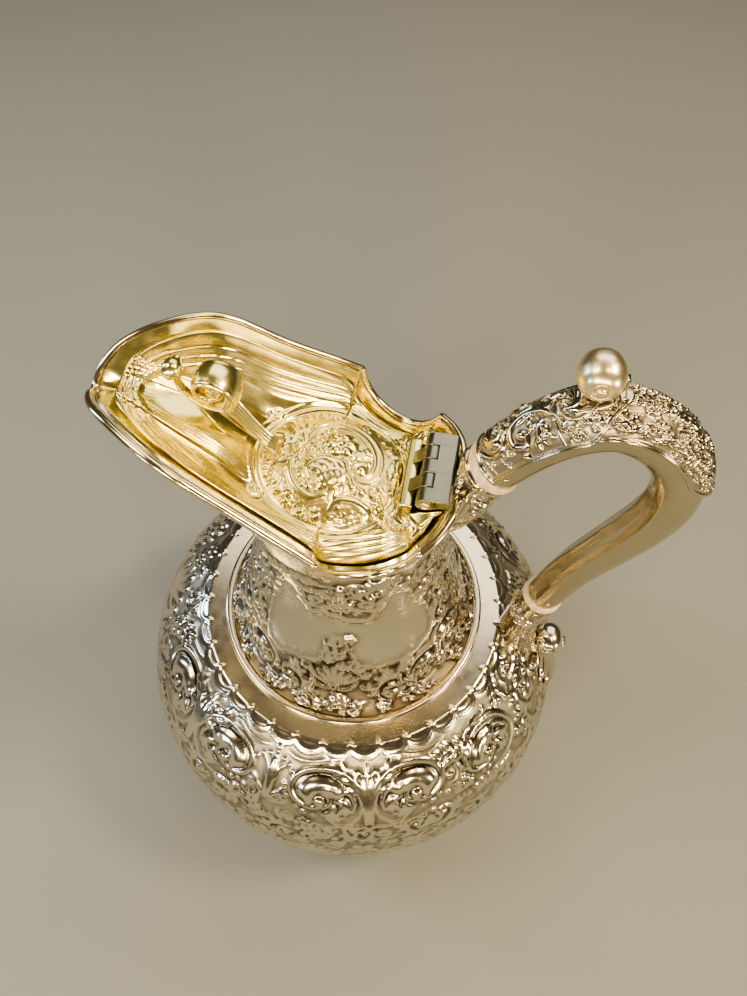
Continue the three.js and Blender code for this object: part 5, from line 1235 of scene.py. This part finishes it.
def strip_section(wide, thick, reeds=0, crown=0.0):
    s = np.linspace(-1, 1, 41)
    top = thick / 2 + LIP * np.exp(-((np.abs(s) - 0.86) / 0.12) ** 2) + crown * (1 - s ** 2)
    if reeds:
        top = top + REED_RISE * np.abs(np.cos(np.pi * reeds * s / 2))
    rounding = np.sqrt(np.clip(1 - s ** 8, 0, 1))
    upper = np.stack([s * wide / 2, top * rounding], 1)
    lower = np.stack([s * wide / 2, -thick / 2 * rounding], 1)
    return np.concatenate([upper, lower[::-1][1:-1]])


def strip(name, node, made_as, points, widths, thick, reeds=0, rows=90, crown=0.0):
    line = through([(x, 0, z) for x, z in points], 24, rows)
    wide = np.interp(np.linspace(0, 1, rows), np.linspace(0, 1, len(widths)), widths)
    sections = np.stack([strip_section(w, thick, reeds, crown) for w in wide])
    upward = np.cross(unit(np.gradient(line, axis=0)), ACROSS)
    grid = line[:, None] + ACROSS * sections[..., :1] + upward[:, None] * sections[..., 1:]
    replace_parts(grid_piece(name, closed(grid), made_as), node)


def spun(name, node, made_as, centre, axis, profile, count=72, rows=90):
    line = through(profile, 16, rows)
    axis = unit(np.asarray(axis, float))
    side = unit(np.cross(axis, [0.36, 0.2, 0.91]))
    a = np.linspace(0, 2 * math.pi, count, endpoint=False)
    spokes = np.cos(a)[:, None] * side + np.sin(a)[:, None] * np.cross(axis, side)
    radius = np.maximum(line[:, 0], 0.01)
    grid = np.asarray(centre) + axis * line[:, None, 1:] + spokes[None] * radius[:, None, None]
    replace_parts(grid_piece(name, grid, made_as), node)


def both_ends(half, waist=()):
    return [*[(r, -a) for r, a in half], *waist, *half[::-1]]


def rolled_end(radius, half):
    return both_ends([(0.0, half * 1.04), (radius * EYE * 0.75, half), (radius * EYE, half * 0.86),
                      (radius * EYE * 1.05, half * 0.72), (radius * 0.42, half * 0.74), (radius * 0.5, half * 0.96),
                      (radius * 0.62, half * 0.98), (radius * 0.82, half * 0.76), (radius * 0.96, half * 0.4)],
                     [(radius, 0.0)])


def bar(name, node, made_as, outline, low, high, bevel):
    loop = soft_loop(outline)
    away = loop - loop.mean(0)
    size = np.linalg.norm(away, axis=1, keepdims=True)
    rows = []
    for y, shrink in ((low, bevel), (low + bevel * 0.4, bevel * 0.3), (low + bevel, 0), (high - bevel, 0),
                      (high - bevel * 0.4, bevel * 0.3), (high, bevel)):
        ring = loop.mean(0) + away * (1 - shrink / size)
        rows.append(np.stack([ring[:, 0], np.full(len(ring), y), ring[:, 1]], 1))
    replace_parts(grid_piece(name, closed(np.array(rows)), made_as, sharp_rows=BEVELLED_ROWS), node)


print("the volute's eye is", EYE, "of its radius")

# %% [markdown]
# The scroll on the lid is a broad strip that is coiled in its side view, comes down behind the coil as
# a narrower reeded strap, and is propped in front by a thin curved strand with an egg-shaped bud.

# %% Scroll on the lid
COIL_X, COIL_INNER, COIL_OUTER, COIL_START, COIL_TURN = -34.0, 1.6, 6.0, -170, 410
BUD_X = -43.4
coil_z = float(dish_height(COIL_X)) + 16.9
coil = []
for degrees in range(COIL_START, COIL_START + COIL_TURN + 1, 15):
    a = math.radians(degrees)
    r = COIL_INNER + (COIL_OUTER - COIL_INNER) * ((degrees - COIL_START) / COIL_TURN) ** 0.8
    coil.append((COIL_X - r * math.cos(a), coil_z + r * math.sin(a)))
strap = [(-28.5, coil_z - 9.49), (-22.8, lid_height(-20.4, 0) + 3.45), (-20.4, lid_height(-20.4, 0) + 1.2)]
prop = [(-32.0, coil_z - 6.6), (-36.4, coil_z - 6.9), (-40.2, coil_z - 5.2), (-42.4, coil_z - 2.2),
        (-43.2, coil_z + 1.4), (BUD_X, coil_z + 3.0)]
prop_foot = [(-39.4, coil_z - 5.9), (-36.4, lid_height(-36.4, 0) + 2.6), (-33.0, lid_height(-33, 0) + 0.8),
             (-28.6, lid_height(-28.6, 0) + 0.7)]
strip("lid_coil", "lid_scroll", ON_LID, coil, [3.0, 5.0, 7.0, 8.4, 9.2, 8.6, 6.0], 1.1, rows=170, crown=0.9)
strip("lid_strap", "lid_scroll", ON_LID, [*coil[-3:], *strap], [6.4, 5.0, 4.6, 5.2], 1.2, reeds=5, rows=80)
spun("lid_coil_eye", "lid_scroll", ON_LID, (COIL_X, 0, coil_z), ACROSS, rolled_end(2.0, 2.6))
strip("lid_prop", "lid_scroll_prop", ON_LID, prop, [4.6, 3.4, 2.2, 2.0], 1.3)
strip("lid_prop_foot", "lid_scroll_prop", ON_LID, prop_foot, [2.6, 4.0, 4.6, 3.4], 1.4)
spun("lid_bud", "lid_scroll_prop", ON_LID, (BUD_X, 0, coil_z + 4.6), (0.25, 0.9, 0.35),
     [(0, -3.1), (1.0, -2.8), (2.0, -1.8), (2.5, -0.2), (2.1, 1.4), (1.2, 2.5), (0.9, 2.9), (0.7, 3.3), (0, 3.5)],
     48, 60)
print("coil centre", round(coil_z, 1), "mm above the table")

# %% [markdown]
# ## Hinge
# Five knuckles turn on one pin. The first, third and fifth belong to a block that is soldered behind
# the mouth, and the other two to a leaf on the lid. It is filed flat rather than polished, in long
# planes with soft corners.

# %% Hinge
KNUCKLE_RADIUS, SEAT_RADIUS, HINGE_BACK = 2.6, 2.75, 27.6
FIXED_HINGE, MOVING_HINGE = ("root", hinge_silver, "aged_silver"), ("lid", hinge_silver, "aged_silver")


def round_pin(radius, first, last, forward=1):
    return [(HINGE_X + forward * radius * math.cos(a), HINGE_Z + radius * math.sin(a))
            for a in np.radians(range(first, last, 15))]


top_plane = [(26.9, 198.3), (HINGE_BACK, 197.6), (HINGE_BACK, 195.3)]
fixed_outline = [*round_pin(KNUCKLE_RADIUS, -60, 91, -1), (23.4, 198.45), *top_plane, (24.6, 195.1), (22.6, 193.8)]
plate_outline = [*round_pin(SEAT_RADIUS, -10, 66), (22.3, 198.45), *top_plane]
lid_outline = [*round_pin(KNUCKLE_RADIUS, -60, 151), (17.0, 195.4), (15.4, 193.6), (17.6, 192.6)]
leaf_outline = [(13.8, 192.0), (14.2, 193.8), (16.4, 194.3), (17.8, 193.9), (17.8, 191.9)]
for k in range(KNUCKLES):
    low = -HINGE_HALF + k * (KNUCKLE_LONG + KNUCKLE_GAP) - (0.05 if k else 0)
    high = low + KNUCKLE_LONG + (0.1 if 0 < k < KNUCKLES - 1 else 0.05)
    if k % 2 == 0:
        bar(f"fixed_knuckle_{k}", "hinge_block", FIXED_HINGE, fixed_outline, low, high, 0.18)
    else:
        bar(f"lid_knuckle_{k}", "lid_hinge_leaf", MOVING_HINGE, lid_outline, low, high, 0.18)
bar("hinge_back_plate", "hinge_block", FIXED_HINGE, plate_outline, -HINGE_HALF + 0.3, HINGE_HALF - 0.3, 0.2)
bar("lid_leaf_plate", "lid_hinge_leaf", ON_LID, leaf_outline, -HINGE_HALF + 0.2, HINGE_HALF - 0.2, 0.3)
spun("hinge_rivet", "hinge_pin", ("root", pale_gilt, "aged_silver"), (HINGE_X, 0, HINGE_Z), ACROSS,
     both_ends([(0, 11.5), (0.8, 11.4), (1.25, 11.05), (1.2, 10.8), (0.9, 10.6)], [(0.9, 0)]), 40, 120)
print("hinge", round(2 * HINGE_HALF, 1), "mm long with", KNUCKLES, "knuckles")

# %% [markdown]
# ## Handle
# The hollow handle rises from the insulator, turns over the crown and comes down to the body. Its
# section is nearly round. Two chased leaves lie on its outer side. The lower strand has a keel on its
# inner side.

# %% Handle line
UPPER_JOINT, CROWN, BEND, LOWER_JOINT = (37.6, 204.0), (60.5, 227.2), (81.3, 199.0), (63.3, 136.0)
HANDLE_ROWS, HANDLE_COLUMNS, HANDLE_SHEET = 420, 96, 1.6


def part_way(a, b, shares):
    return [(a[0] + (b[0] - a[0]) * s, a[1] + (b[1] - a[1]) * t) for s, t in shares]


handle_points = [UPPER_JOINT, *part_way(UPPER_JOINT, CROWN, [(0.367, 0.56), (0.677, 0.862)]), CROWN,
                 *part_way(CROWN, BEND, [(0.36, 0.07), (0.716, 0.298), (0.933, 0.628)]), BEND,
                 *part_way(BEND, LOWER_JOINT, [(0.117, 0.183), (0.372, 0.389), (0.722, 0.667)]), LOWER_JOINT]
handle_line = through([(x, 0, z) for x, z in handle_points], 60, HANDLE_ROWS)
handle_share = np.linspace(0, 1, HANDLE_ROWS)
handle_diameter = 13.6
for diameter, first, last in ((14.2, 0, 0.25), (12.8, 0.25, 0.5), (11.4, 0.55, 0.95)):
    handle_diameter = handle_diameter + (diameter - handle_diameter) * smoothstep(handle_share, first, last)
handle_along = unit(np.gradient(handle_line, axis=0))
handle_out = -np.cross(ACROSS, handle_along)
handle_length = float(np.sum(np.linalg.norm(np.diff(handle_line, axis=0), axis=1)))
print("handle length", round(handle_length), "mm")

# %% [markdown]
# The tube is swept round that line. A keel with a fine line on each side of it grows along the inner
# side of the lower strand. The inner wall needs few rows, because nobody sees it.

# %% Raise the handle
def handle_surface(angles, lift):
    r = handle_diameter[:, None] / 2 + lift
    out = handle_out[:, None] * (r * np.cos(angles))[..., None]
    return handle_line[:, None] + out + ACROSS * (r * np.sin(angles))[..., None]


round_angles = np.linspace(0, 2 * math.pi, HANDLE_COLUMNS, endpoint=False)[None, :]
from_inside = np.abs(round_angles - math.pi)
keel = (0.9 * np.exp(-(from_inside / 0.2) ** 2) + 0.45 * np.exp(-((from_inside - 0.95) / 0.07) ** 2)
        - 0.35 * np.exp(-((from_inside - 0.6) / 0.2) ** 2))
keel = keel * smoothstep(handle_share, 0.44, 0.54)[:, None] * (1 - smoothstep(handle_share, 0.975, 1.0)[:, None])
tube_in = handle_surface(round_angles, -HANDLE_SHEET)[::14]
tube = grid_piece("handle_tube", np.concatenate([handle_surface(round_angles, keel), tube_in[::-1]]), ON_HANDLE, True,
                  sharp_rows=(0, HANDLE_ROWS - 1))
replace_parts(tube, "handle_loop")
print("handle_tube", len(tube.data.polygons), "faces")

# %% [markdown]
# The upper leaf carries S-scrolls and volutes inside plain borders, and runs into the rolled thumb
# piece. The second leaf, past the thumb piece, is covered with small flowers on a matted ground and
# has moulded edges.

# %% Chased leaves of the handle
LEAF_ROWS, LEAF_COLUMNS, LEAF_UNDER, LEAF_FLOAT = 240, 160, 0.25, 0.5
LEAF_FIELD = (-9, 9)


def handle_overlay(name, node, first, last, seed, chase, reach_deg, pointed, lift):
    share = np.linspace(first, last, LEAF_ROWS)
    index = share * (HANDLE_ROWS - 1)
    known = np.arange(HANDLE_ROWS)
    line, out = read_at(index, known, handle_line), unit(read_at(index, known, handle_out))
    radius = (np.interp(index, known, handle_diameter) / 2)[:, None]
    step = np.linspace(0, 1, LEAF_ROWS)
    closing = np.clip((step - 0.82) / 0.18, 0, 1) if pointed else np.clip((step - 0.78) / 0.22, 0, 1) * 0.85
    half = np.radians(reach_deg * np.maximum(1 - closing ** 1.6, 0.03))[:, None]
    angle = half * np.linspace(-1, 1, LEAF_COLUMNS)[None, :]
    along = (share * handle_length)[:, None] + 0 * angle
    across = angle * (radius + 1)
    relief = Relief(along.T.copy(), across.T.copy())
    edge_gap = (half - np.abs(angle)) * (radius + 1)
    gap = np.minimum(edge_gap, np.minimum(along - along[0, 0], along[-1, 0] - along))
    relief.bare = np.where(gap < 1.6, 1.0, 0.0).T.copy()
    chase(relief, first * handle_length, last * handle_length, seed)
    work = relief.h.T
    framed = smoothstep(gap, 1.5, 1.9)
    high = LEAF_FLOAT + work * framed * 0.85 + (0.55 * reed(gap, 0.6, 0.6) + 0.35 * reed(gap, 1.5, 0.3))

    def wrapped(distance, turned_by):
        around = out[:, None] * distance * np.cos(turned_by)[..., None]
        return line[:, None] + around + ACROSS * distance * np.sin(turned_by)[..., None]

    top = wrapped((radius + 0.3 + lift + high)[..., None], angle)
    low = wrapped((radius + LEAF_UNDER)[..., None], angle[:, ::-1])[:, ::6]
    spare = np.zeros(low.shape[:2])
    # The leaf's darkening is tarnish and painted shade in the hollows of its chasing.
    dark = np.concatenate([tarnish_and_shade(work, framed, 6) * framed, spare], 1)
    matt = np.concatenate([framed * matted(work), spare], 1)
    piece = grid_piece(name, closed(np.concatenate([top, low], 1)), ON_HANDLE, False, with_ends(dark), with_ends(matt))
    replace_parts(piece, node)
    print(name, len(piece.data.polygons), "faces")


def scrolled(relief, start, stop, seed):
    relief.press(ROUNDEL, start + 7.0, 1.0, 1.9, 0.5)
    relief.press(SPRAY, start + 15.5, -2.6, 0.5, 0.72, True, 1.15)
    relief.press(SPRAY, start + 14.5, 4.4, 2.6, 0.62, False, 1.15)
    relief.press(ROUNDEL, start + 24.5, 0.6, -1.2, 0.46, True, 1.05)
    relief.fill([SPRIG, CURL], 160, (start + 2, stop - 2), LEAF_FIELD, seed, 0.3, (0.3, 0.5), 0.8)
    relief.fill([PELLET], 60, (start + 2, stop - 2), LEAF_FIELD, seed + 1, 0.2, (0.4, 0.6), 0.7)


def flowered(relief, start, stop, seed):
    relief.fill([ROSETTE, SPRIG, BERRIES, FEATHER], 1800, (start + 2, stop - 2), LEAF_FIELD, seed, 0.24, (0.26, 0.44),
                0.85)
    relief.fill([PELLET], 900, (start + 2, stop - 2), LEAF_FIELD, seed + 1, 0.14, (0.4, 0.75), 0.85)


handle_overlay("thumb_leaf", "handle_leaf", 0.006, 0.25, 41, scrolled, 80, True, 0.45)
handle_overlay("bend_leaf", "handle_bend_band", 0.165, 0.47, 43, flowered, 76, False, 0.0)

# %% [markdown]
# ## Thumb piece
# The end of the first leaf rolls up into an egg-shaped scroll for the thumb, a little wider than it is
# high. Its eye shows in a hollow at each end, and a strip carries it from below and behind.

# %% Thumb piece
THUMB_X, THUMB_Z, THUMB_RADIUS = CROWN[0] - 7.5, CROWN[1] + 13.8, 5.2


def handle_point(share, lift):
    i = int(round(share * (HANDLE_ROWS - 1)))
    p = handle_line[i] + handle_out[i] * (handle_diameter[i] / 2 + lift)
    return float(p[0]), float(p[2])


egg_half = [(0, 6.0), (0.9, 5.75), (1.15, 5.4), (1.3, 4.5), (1.75, 4.2), (2.3, 4.95), (3.3, 4.5), (4.4, 3.2),
            (5.0, 1.5)]
spun("thumb_egg", "thumb_volute", ("root", satin_silver_lit, "sterling_silver"), (THUMB_X, 0, THUMB_Z), ACROSS,
     both_ends(egg_half, [(THUMB_RADIUS, 0)]), 96, 120)
strip("thumb_curl", "thumb_volute", ON_HANDLE,
      [handle_point(0.2, 1.0), handle_point(0.235, 1.4), (THUMB_X + 3.4, THUMB_Z - 4.6), (THUMB_X + 5.2, THUMB_Z - 1.8),
       (THUMB_X + 5.45, THUMB_Z + 0.2)], [8.0, 7.0, 5.6, 4.0, 2.2], 0.9)
print("top of the thumb piece", round(THUMB_Z + THUMB_RADIUS, 1), "mm")

# %% [markdown]
# ## Joints of the handle
# At each end the handle stops at a cream disc. A socket on the jug holds the disc's tenon, and a small
# cross pin with domed heads goes through each side.

# %% Discs and pins
DISC_THICK, DISC_GAP, PIN_STEP = 3.2, 0.1, 4.6
UPPER_DISC_RADIUS, LOWER_DISC_RADIUS = 7.55, 6.45
BONE = ("root", cream_bone, "insulator_disc")
start_along, end_along = handle_along[0], handle_along[-1]
upper_disc = handle_line[0] - start_along * (DISC_THICK / 2 + DISC_GAP)
lower_disc = handle_line[-1] + end_along * (DISC_THICK / 2 + DISC_GAP)


def disc_profile(radius):
    t = DISC_THICK / 2
    return both_ends([(0, t), (radius - 0.9, t), (radius - 0.35, t - 0.1), (radius, t - 0.6)], [(radius + 0.08, 0)])


spun("upper_disc", "upper_insulator", BONE, upper_disc, start_along, disc_profile(UPPER_DISC_RADIUS), 96, 80)
spun("lower_disc", "lower_insulator", BONE, lower_disc, end_along, disc_profile(LOWER_DISC_RADIUS), 96, 80)
for name, centre, along, reach in (
        ("upper_socket_pin", upper_disc, -start_along, 7.0), ("upper_handle_pin", upper_disc, start_along, 6.9),
        ("lower_handle_pin", lower_disc, -end_along, 5.9), ("lower_socket_pin", lower_disc, end_along, 6.1)):
    pin_half = [(0, reach + 0.5), (0.7, reach + 0.35), (1.15, reach - 0.1), (0.8, reach - 0.4)]
    spun(name + "_heads", name, ON_HANDLE, centre + along * PIN_STEP, ACROSS, both_ends(pin_half, [(0.8, 0)]), 32, 80)
print("discs", 2 * UPPER_DISC_RADIUS, "and", 2 * LOWER_DISC_RADIUS, "mm across, and four pins")

# %% [markdown]
# Both sockets are sleeves swept from a disc towards the jug. Their ends are pushed out of the jug's
# wall, so that they follow it closely. They are chased with long reeds, a scroll and a leaf, and
# spread a little where they meet the jug.

# %% Sockets
SLEEVE_ROWS, SLEEVE_COLUMNS, SLEEVE_SUNK = 170, 150, 0.6
UPPER_REEDS = (-13.2, -11.6, -5.2, -3.4, 3.4, 5.2, 11.6, 13.2)
LOWER_REEDS = ((0.0, 0.6), (1.5, 0.4))


def wall_radius(z, for_body):
    if for_body:
        upper = body_rows[:int(np.argmax(body_rows[:, 0]))]
        return np.where(z < SHOULDER_HEIGHT, np.interp(-z, -upper[:, 1], upper[:, 0]), 0.0)
    back = np.argmin(np.abs(neck_angle[0]))
    return np.where(z < BACK_Z, np.interp(z, outside[:, back, 2], neck_radius[:, back]), HINGE_BACK + 0.9)


def sleeve(name, node, points, first_along, radii, chase, for_body):
    line = through([(x, 0, z) for x, z in points], 30, SLEEVE_ROWS)
    fade_in = smoothstep(np.arange(SLEEVE_ROWS), 0, 14)[:, None]
    along = unit(first_along * (1 - fade_in) + unit(np.gradient(line, axis=0)) * fade_in)
    out = -np.cross(ACROSS, along)
    out = out * np.where(out[:, :1] < 0, -1, 1)
    angle = np.linspace(-math.pi, math.pi, SLEEVE_COLUMNS, endpoint=False)[None, :]
    run = run_of(line)
    radius = np.interp(run / run[-1], np.linspace(0, 1, len(radii)), radii)[:, None]
    relief = Relief(run[:, None] + 0 * angle, angle * radius)
    chase(relief, run[-1])
    h = smoothed(relief.h, 1)
    r = radius + h - 0.1
    grid = line[:, None] + out[:, None] * (r * np.cos(angle))[..., None] + ACROSS * (r * np.sin(angle))[..., None]
    least = wall_radius(grid[..., 2], for_body) - SLEEVE_SUNK
    push = np.maximum(least / np.maximum(np.hypot(grid[..., 0], grid[..., 1]), 1e-6), 1)[..., None]
    grid = grid * np.concatenate([push, push, np.ones_like(push)], -1)
    # The socket's darkening is tarnish and painted shade in the hollows of its chasing.
    dark = np.concatenate([np.zeros((1, SLEEVE_COLUMNS)), tarnish_and_shade(h, 1.0, 6)])
    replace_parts(grid_piece(name, closed(grid)[:-1], ON_JUG, False, dark), node)


def upper_chasing(relief, length):
    for y in UPPER_REEDS:
        relief.h = np.maximum(relief.h, 0.55 * np.exp(-((relief.up - y) / 0.5) ** 2))
    for hand in (1, -1):
        relief.press(SPRAY, 5.6, 8.4 * hand, 0.6 * hand, 0.5, hand == 1, 1.2)
        relief.press(CURL, 12.5, 8.6 * hand, 2.2 * hand, 0.75, hand == 1, 1.1)
    relief.h = np.maximum(relief.h, 0.6 * np.exp(-((relief.along - 0.9) / 0.6) ** 2))
    relief.fill([SPRIG, BERRIES], 200, (2, length - 4), (-20, 20), 51, 0.2, (0.35, 0.5), 0.9)


def lower_chasing(relief, length):
    bow = 5.6 * np.sin(np.pi * np.clip((relief.along - 8) / 22, 0, 1)) ** 0.7
    for hand in (1, -1):
        relief.press(FEATHER, 9.0, 12.6 * hand, 2.6 * hand, 0.62, hand == 1, 1.2)
        for outward, tall in LOWER_REEDS:
            away = relief.up - hand * (1.2 + (bow + outward))
            relief.h = np.maximum(relief.h, tall * np.exp(-(away / 0.45) ** 2) * smoothstep(relief.along, 5, 9))
        relief.press(SPRIG, 4.6, 4.2 * hand, 0.4 * hand, 0.6, hand == 1, 1.2)
    relief.press(ROSETTE, 4.6, 0, 0, 0.55, False, 1.2)


def beyond(disc, along, distance):
    p = disc + along * (DISC_THICK / 2 + distance)
    return float(p[0]), float(p[2])


sleeve("upper_socket_sheet", "upper_socket",
       [beyond(upper_disc, -start_along, DISC_GAP), beyond(upper_disc, -start_along, 4.1),
        (BACK_X - 0.1, BACK_Z - 5.86), (BACK_X - 5.6, BACK_Z - 15.4)],
       -start_along, [7.0, 7.3, 7.7, 8.0], upper_chasing, False)
sleeve("lower_socket_sheet", "lower_socket",
       [beyond(lower_disc, end_along, DISC_GAP), beyond(lower_disc, end_along, 5.0), (59.8, 111.5), (59.8, 104.0),
        (60.6, 97.5)],
       end_along, [5.9, 5.95, 6.1, 6.6, 7.5], lower_chasing, True)
print("sockets swept")

# %% [markdown]
# ## Lower scroll and drop leaf
# Below the socket a strip curls outward into a second, smaller rolled end. Under it a leaf plate is
# pinned on the shoulder, with a middle rib, side veins and lobed edges.

# %% Lower scroll
BALL_X, BALL_Z, BALL_RADIUS = 72.6, 99.5, 4.8


def from_ball(pairs):
    return [(BALL_X + 5 * x, BALL_Z + 5 * z) for x, z in pairs]


spun("lower_roll", "lower_scroll", ON_JUG, (BALL_X, 0, BALL_Z), ACROSS, rolled_end(BALL_RADIUS, 5.0), 80, 110)
strip("lower_curl", "lower_scroll", ON_JUG,
      from_ball([(-1.9, 4.4), (-2.1, 2.6), (-1.9, 0.8), (-1.25, -0.7), (-0.2, -1.14), (0.7, -0.9), (1.1, -0.1)]),
      [5.0, 7.4, 9.0, 9.8, 9.2, 7.6, 4.0], 1.1, rows=110, crown=0.3)
strip("lower_root", "lower_scroll", ON_JUG, from_ball([(-1.92, -0.9), (-1.2, -0.75), (-0.3, -0.7)]), [6.0, 6.4, 6.6],
      2.6)
print("ball", 2 * BALL_RADIUS, "mm across")

# %% Drop leaf
LEAF_TOP, LEAF_LONG, LEAF_HALF, LOBES = 91.5, 25.5, 9.0, 9
DROP_ROWS, DROP_COLUMNS = 120, 81
SLOPE_OUT, SLOPE_UP = 0.86, 0.51
drop_share = np.linspace(0, 1, DROP_ROWS)[:, None]
drop_s = np.linspace(-1, 1, DROP_COLUMNS)[None, :]
to_side = np.abs(drop_s)
drop_z = LEAF_TOP - LEAF_LONG * drop_share
drop_lobes = 1 + 0.13 * np.cos(drop_share * math.pi * LOBES)
drop_y = drop_s * (LEAF_HALF * np.sin(np.pi * (0.3 + 0.68 * drop_share)) * drop_lobes + 0.6)
drop_radius = wall_radius(drop_z, True)
vein_wave = np.abs(np.sin(math.pi * (drop_share * LOBES - to_side * 1.6)))
drop_lift = 0.5 + 1.1 * (1 - 0.5 * to_side) + 0.5 * np.exp(-(drop_y / 0.9) ** 2) + 0.35 * vein_wave * to_side ** 0.5
edge_roll = np.sqrt(np.clip(1 - to_side ** 10, 0, 1))


def on_shoulder(lift):
    return on_circle(drop_radius + SLOPE_OUT * lift, drop_y / drop_radius, drop_z + SLOPE_UP * lift)


drop_top = on_shoulder(drop_lift * edge_roll + 0.3)
drop_low = on_shoulder(0.25)[:, ::-1][:, 1:-1]
# Painted shade between the raised veins, darker towards the leaf's sides.
leaf_dark = np.concatenate([0.5 * (1 - vein_wave) * to_side, np.zeros((DROP_ROWS, DROP_COLUMNS - 2))], 1)
drop_piece = grid_piece("drop_leaf_sheet", closed(np.concatenate([drop_top, drop_low], 1)), ON_JUG, False,
                        with_ends(leaf_dark))
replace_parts(drop_piece, "drop_leaf")
print("drop leaf", LEAF_LONG, "mm long")

# %% [markdown]
# ## Floor, light and camera
# A pale floor and soft studio light let the shapes speak. Bright metal shows what surrounds it, so the
# room is kept dim, and each lamp is a soft panel: a wide one overhead for the broad reflections, and
# small ones for the clear lights on the beads, with dark between them.
# The camera stands where the photographer stood, above the near side and looking steeply down.

# %% Floor
FLOOR_REACH = 1.6
floor_finish = bpy.data.materials.new("pale_studio_floor")
floor_finish.use_nodes = True
floor_shader = floor_finish.node_tree.nodes["Principled BSDF"]
floor_shader.inputs["Base Color"].default_value = linear("#808481")
floor_shader.inputs["Roughness"].default_value = 0.8
floor_mesh = bpy.data.meshes.new("studio_floor")
floor_corners = [(x * FLOOR_REACH, y * FLOOR_REACH, 0) for x, y in ((-1, -1), (1, -1), (1, 1), (-1, 1))]
floor_mesh.from_pydata(floor_corners, [], [(0, 1, 2, 3)])
floor_mesh.materials.append(floor_finish)
floor = bpy.data.objects.new("studio_floor", floor_mesh)
bpy.context.scene.collection.objects.link(floor)
print("floor", 2 * FLOOR_REACH, "m wide")


# %% Lamps and room
def soft_lamp(name, place, aim, size, watts, colour):
    data = bpy.data.lights.new(name, "AREA")
    data.shape = "RECTANGLE"
    data.size, data.size_y = size
    data.energy = watts
    data.color = linear(colour)[:3]
    lamp = bpy.data.objects.new(name, data)
    lamp.location = place
    lamp.rotation_euler = (Vector(aim) - Vector(place)).to_track_quat("-Z", "Y").to_euler()
    bpy.context.scene.collection.objects.link(lamp)


soft_lamp("ceiling_panel", (0.1, 0.75, 1.05), (0, 0, 0.15), (1.1, 0.7), 6.2, "#FFF3E2")
soft_lamp("left_panel", (-0.6, -0.08, 0.95), (0, 0, 0.18), (0.34, 0.28), 3.0, "#FFEFD0")
soft_lamp("overhead_left", (-0.42, -0.05, 1.02), (0, 0, 0.1), (0.2, 0.16), 1.5, "#FFDFA6")
soft_lamp("overhead_right", (0.28, -0.07, 1.06), (0, 0, 0.1), (0.22, 0.16), 1.5, "#FFDFA6")
soft_lamp("front_middle", (0.05, -0.8, 0.5), (0, 0, 0.14), (0.16, 0.08), 2.4, "#FFE9C4")
soft_lamp("key_softbox", (0.56, 0.08, 0.86), (0, 0, 0.1), (0.18, 0.18), 6.5, "#FFE3B6")
soft_lamp("front_softbox", (-0.28, -0.72, 0.5), (0, 0, 0.1), (0.2, 0.12), 3.6, "#FFE8C4")
soft_lamp("front_right_softbox", (0.34, -0.7, 0.42), (0, 0, 0.08), (0.12, 0.12), 2.8, "#FFE1B0")
soft_lamp("left_strip", (-0.75, 0.1, 0.42), (0, 0, 0.1), (0.1, 0.36), 1.9, "#C9DCFF")
soft_lamp("left_low", (-0.6, -0.5, 0.26), (0, 0, 0.06), (0.14, 0.08), 1.1, "#E4ECFF")
soft_lamp("right_low", (0.72, -0.32, 0.26), (0, 0, 0.08), (0.14, 0.14), 2.4, "#FFE8C4")

world = bpy.data.worlds.new("dim_studio")
world.use_nodes = True
world.node_tree.nodes["Background"].inputs["Color"].default_value = linear("#7E786C")
world.node_tree.nodes["Background"].inputs["Strength"].default_value = 0.36
bpy.context.scene.world = world
print("lamps:", len(bpy.data.lights))

# %% Camera
CAMERA_MM = (18.63, -109.14, 359.2)
FACING, PITCH, ROLL = math.radians(8.8), math.radians(58.72), 0.03
FOCAL_PIXELS, LONG_SIDE, SENSOR_MM = 750, 996, 36
forward = Vector((-math.sin(FACING) * math.cos(PITCH), math.cos(FACING) * math.cos(PITCH), -math.sin(PITCH)))
level = Vector((math.cos(FACING), math.sin(FACING), 0))
lifted = level.cross(forward)
right = level * math.cos(ROLL) + lifted * math.sin(ROLL)
upward = -level * math.sin(ROLL) + lifted * math.cos(ROLL)
camera_data = bpy.data.cameras.new("photo_camera")
camera_data.sensor_width = SENSOR_MM
camera_data.lens = SENSOR_MM * FOCAL_PIXELS / LONG_SIDE
camera_data.clip_start = 0.01
camera = bpy.data.objects.new("photo_camera", camera_data)
turned_axes = Matrix((right, upward, -forward)).transposed()
camera.matrix_world = Matrix.Translation(Vector(CAMERA_MM) * MM) @ turned_axes.to_4x4()
bpy.context.scene.collection.objects.link(camera)
bpy.context.scene.camera = camera
bpy.context.scene.view_settings.view_transform = "AgX"
bpy.context.scene.view_settings.look = "AgX - Medium High Contrast"
print("lens", round(camera_data.lens, 1), "mm")
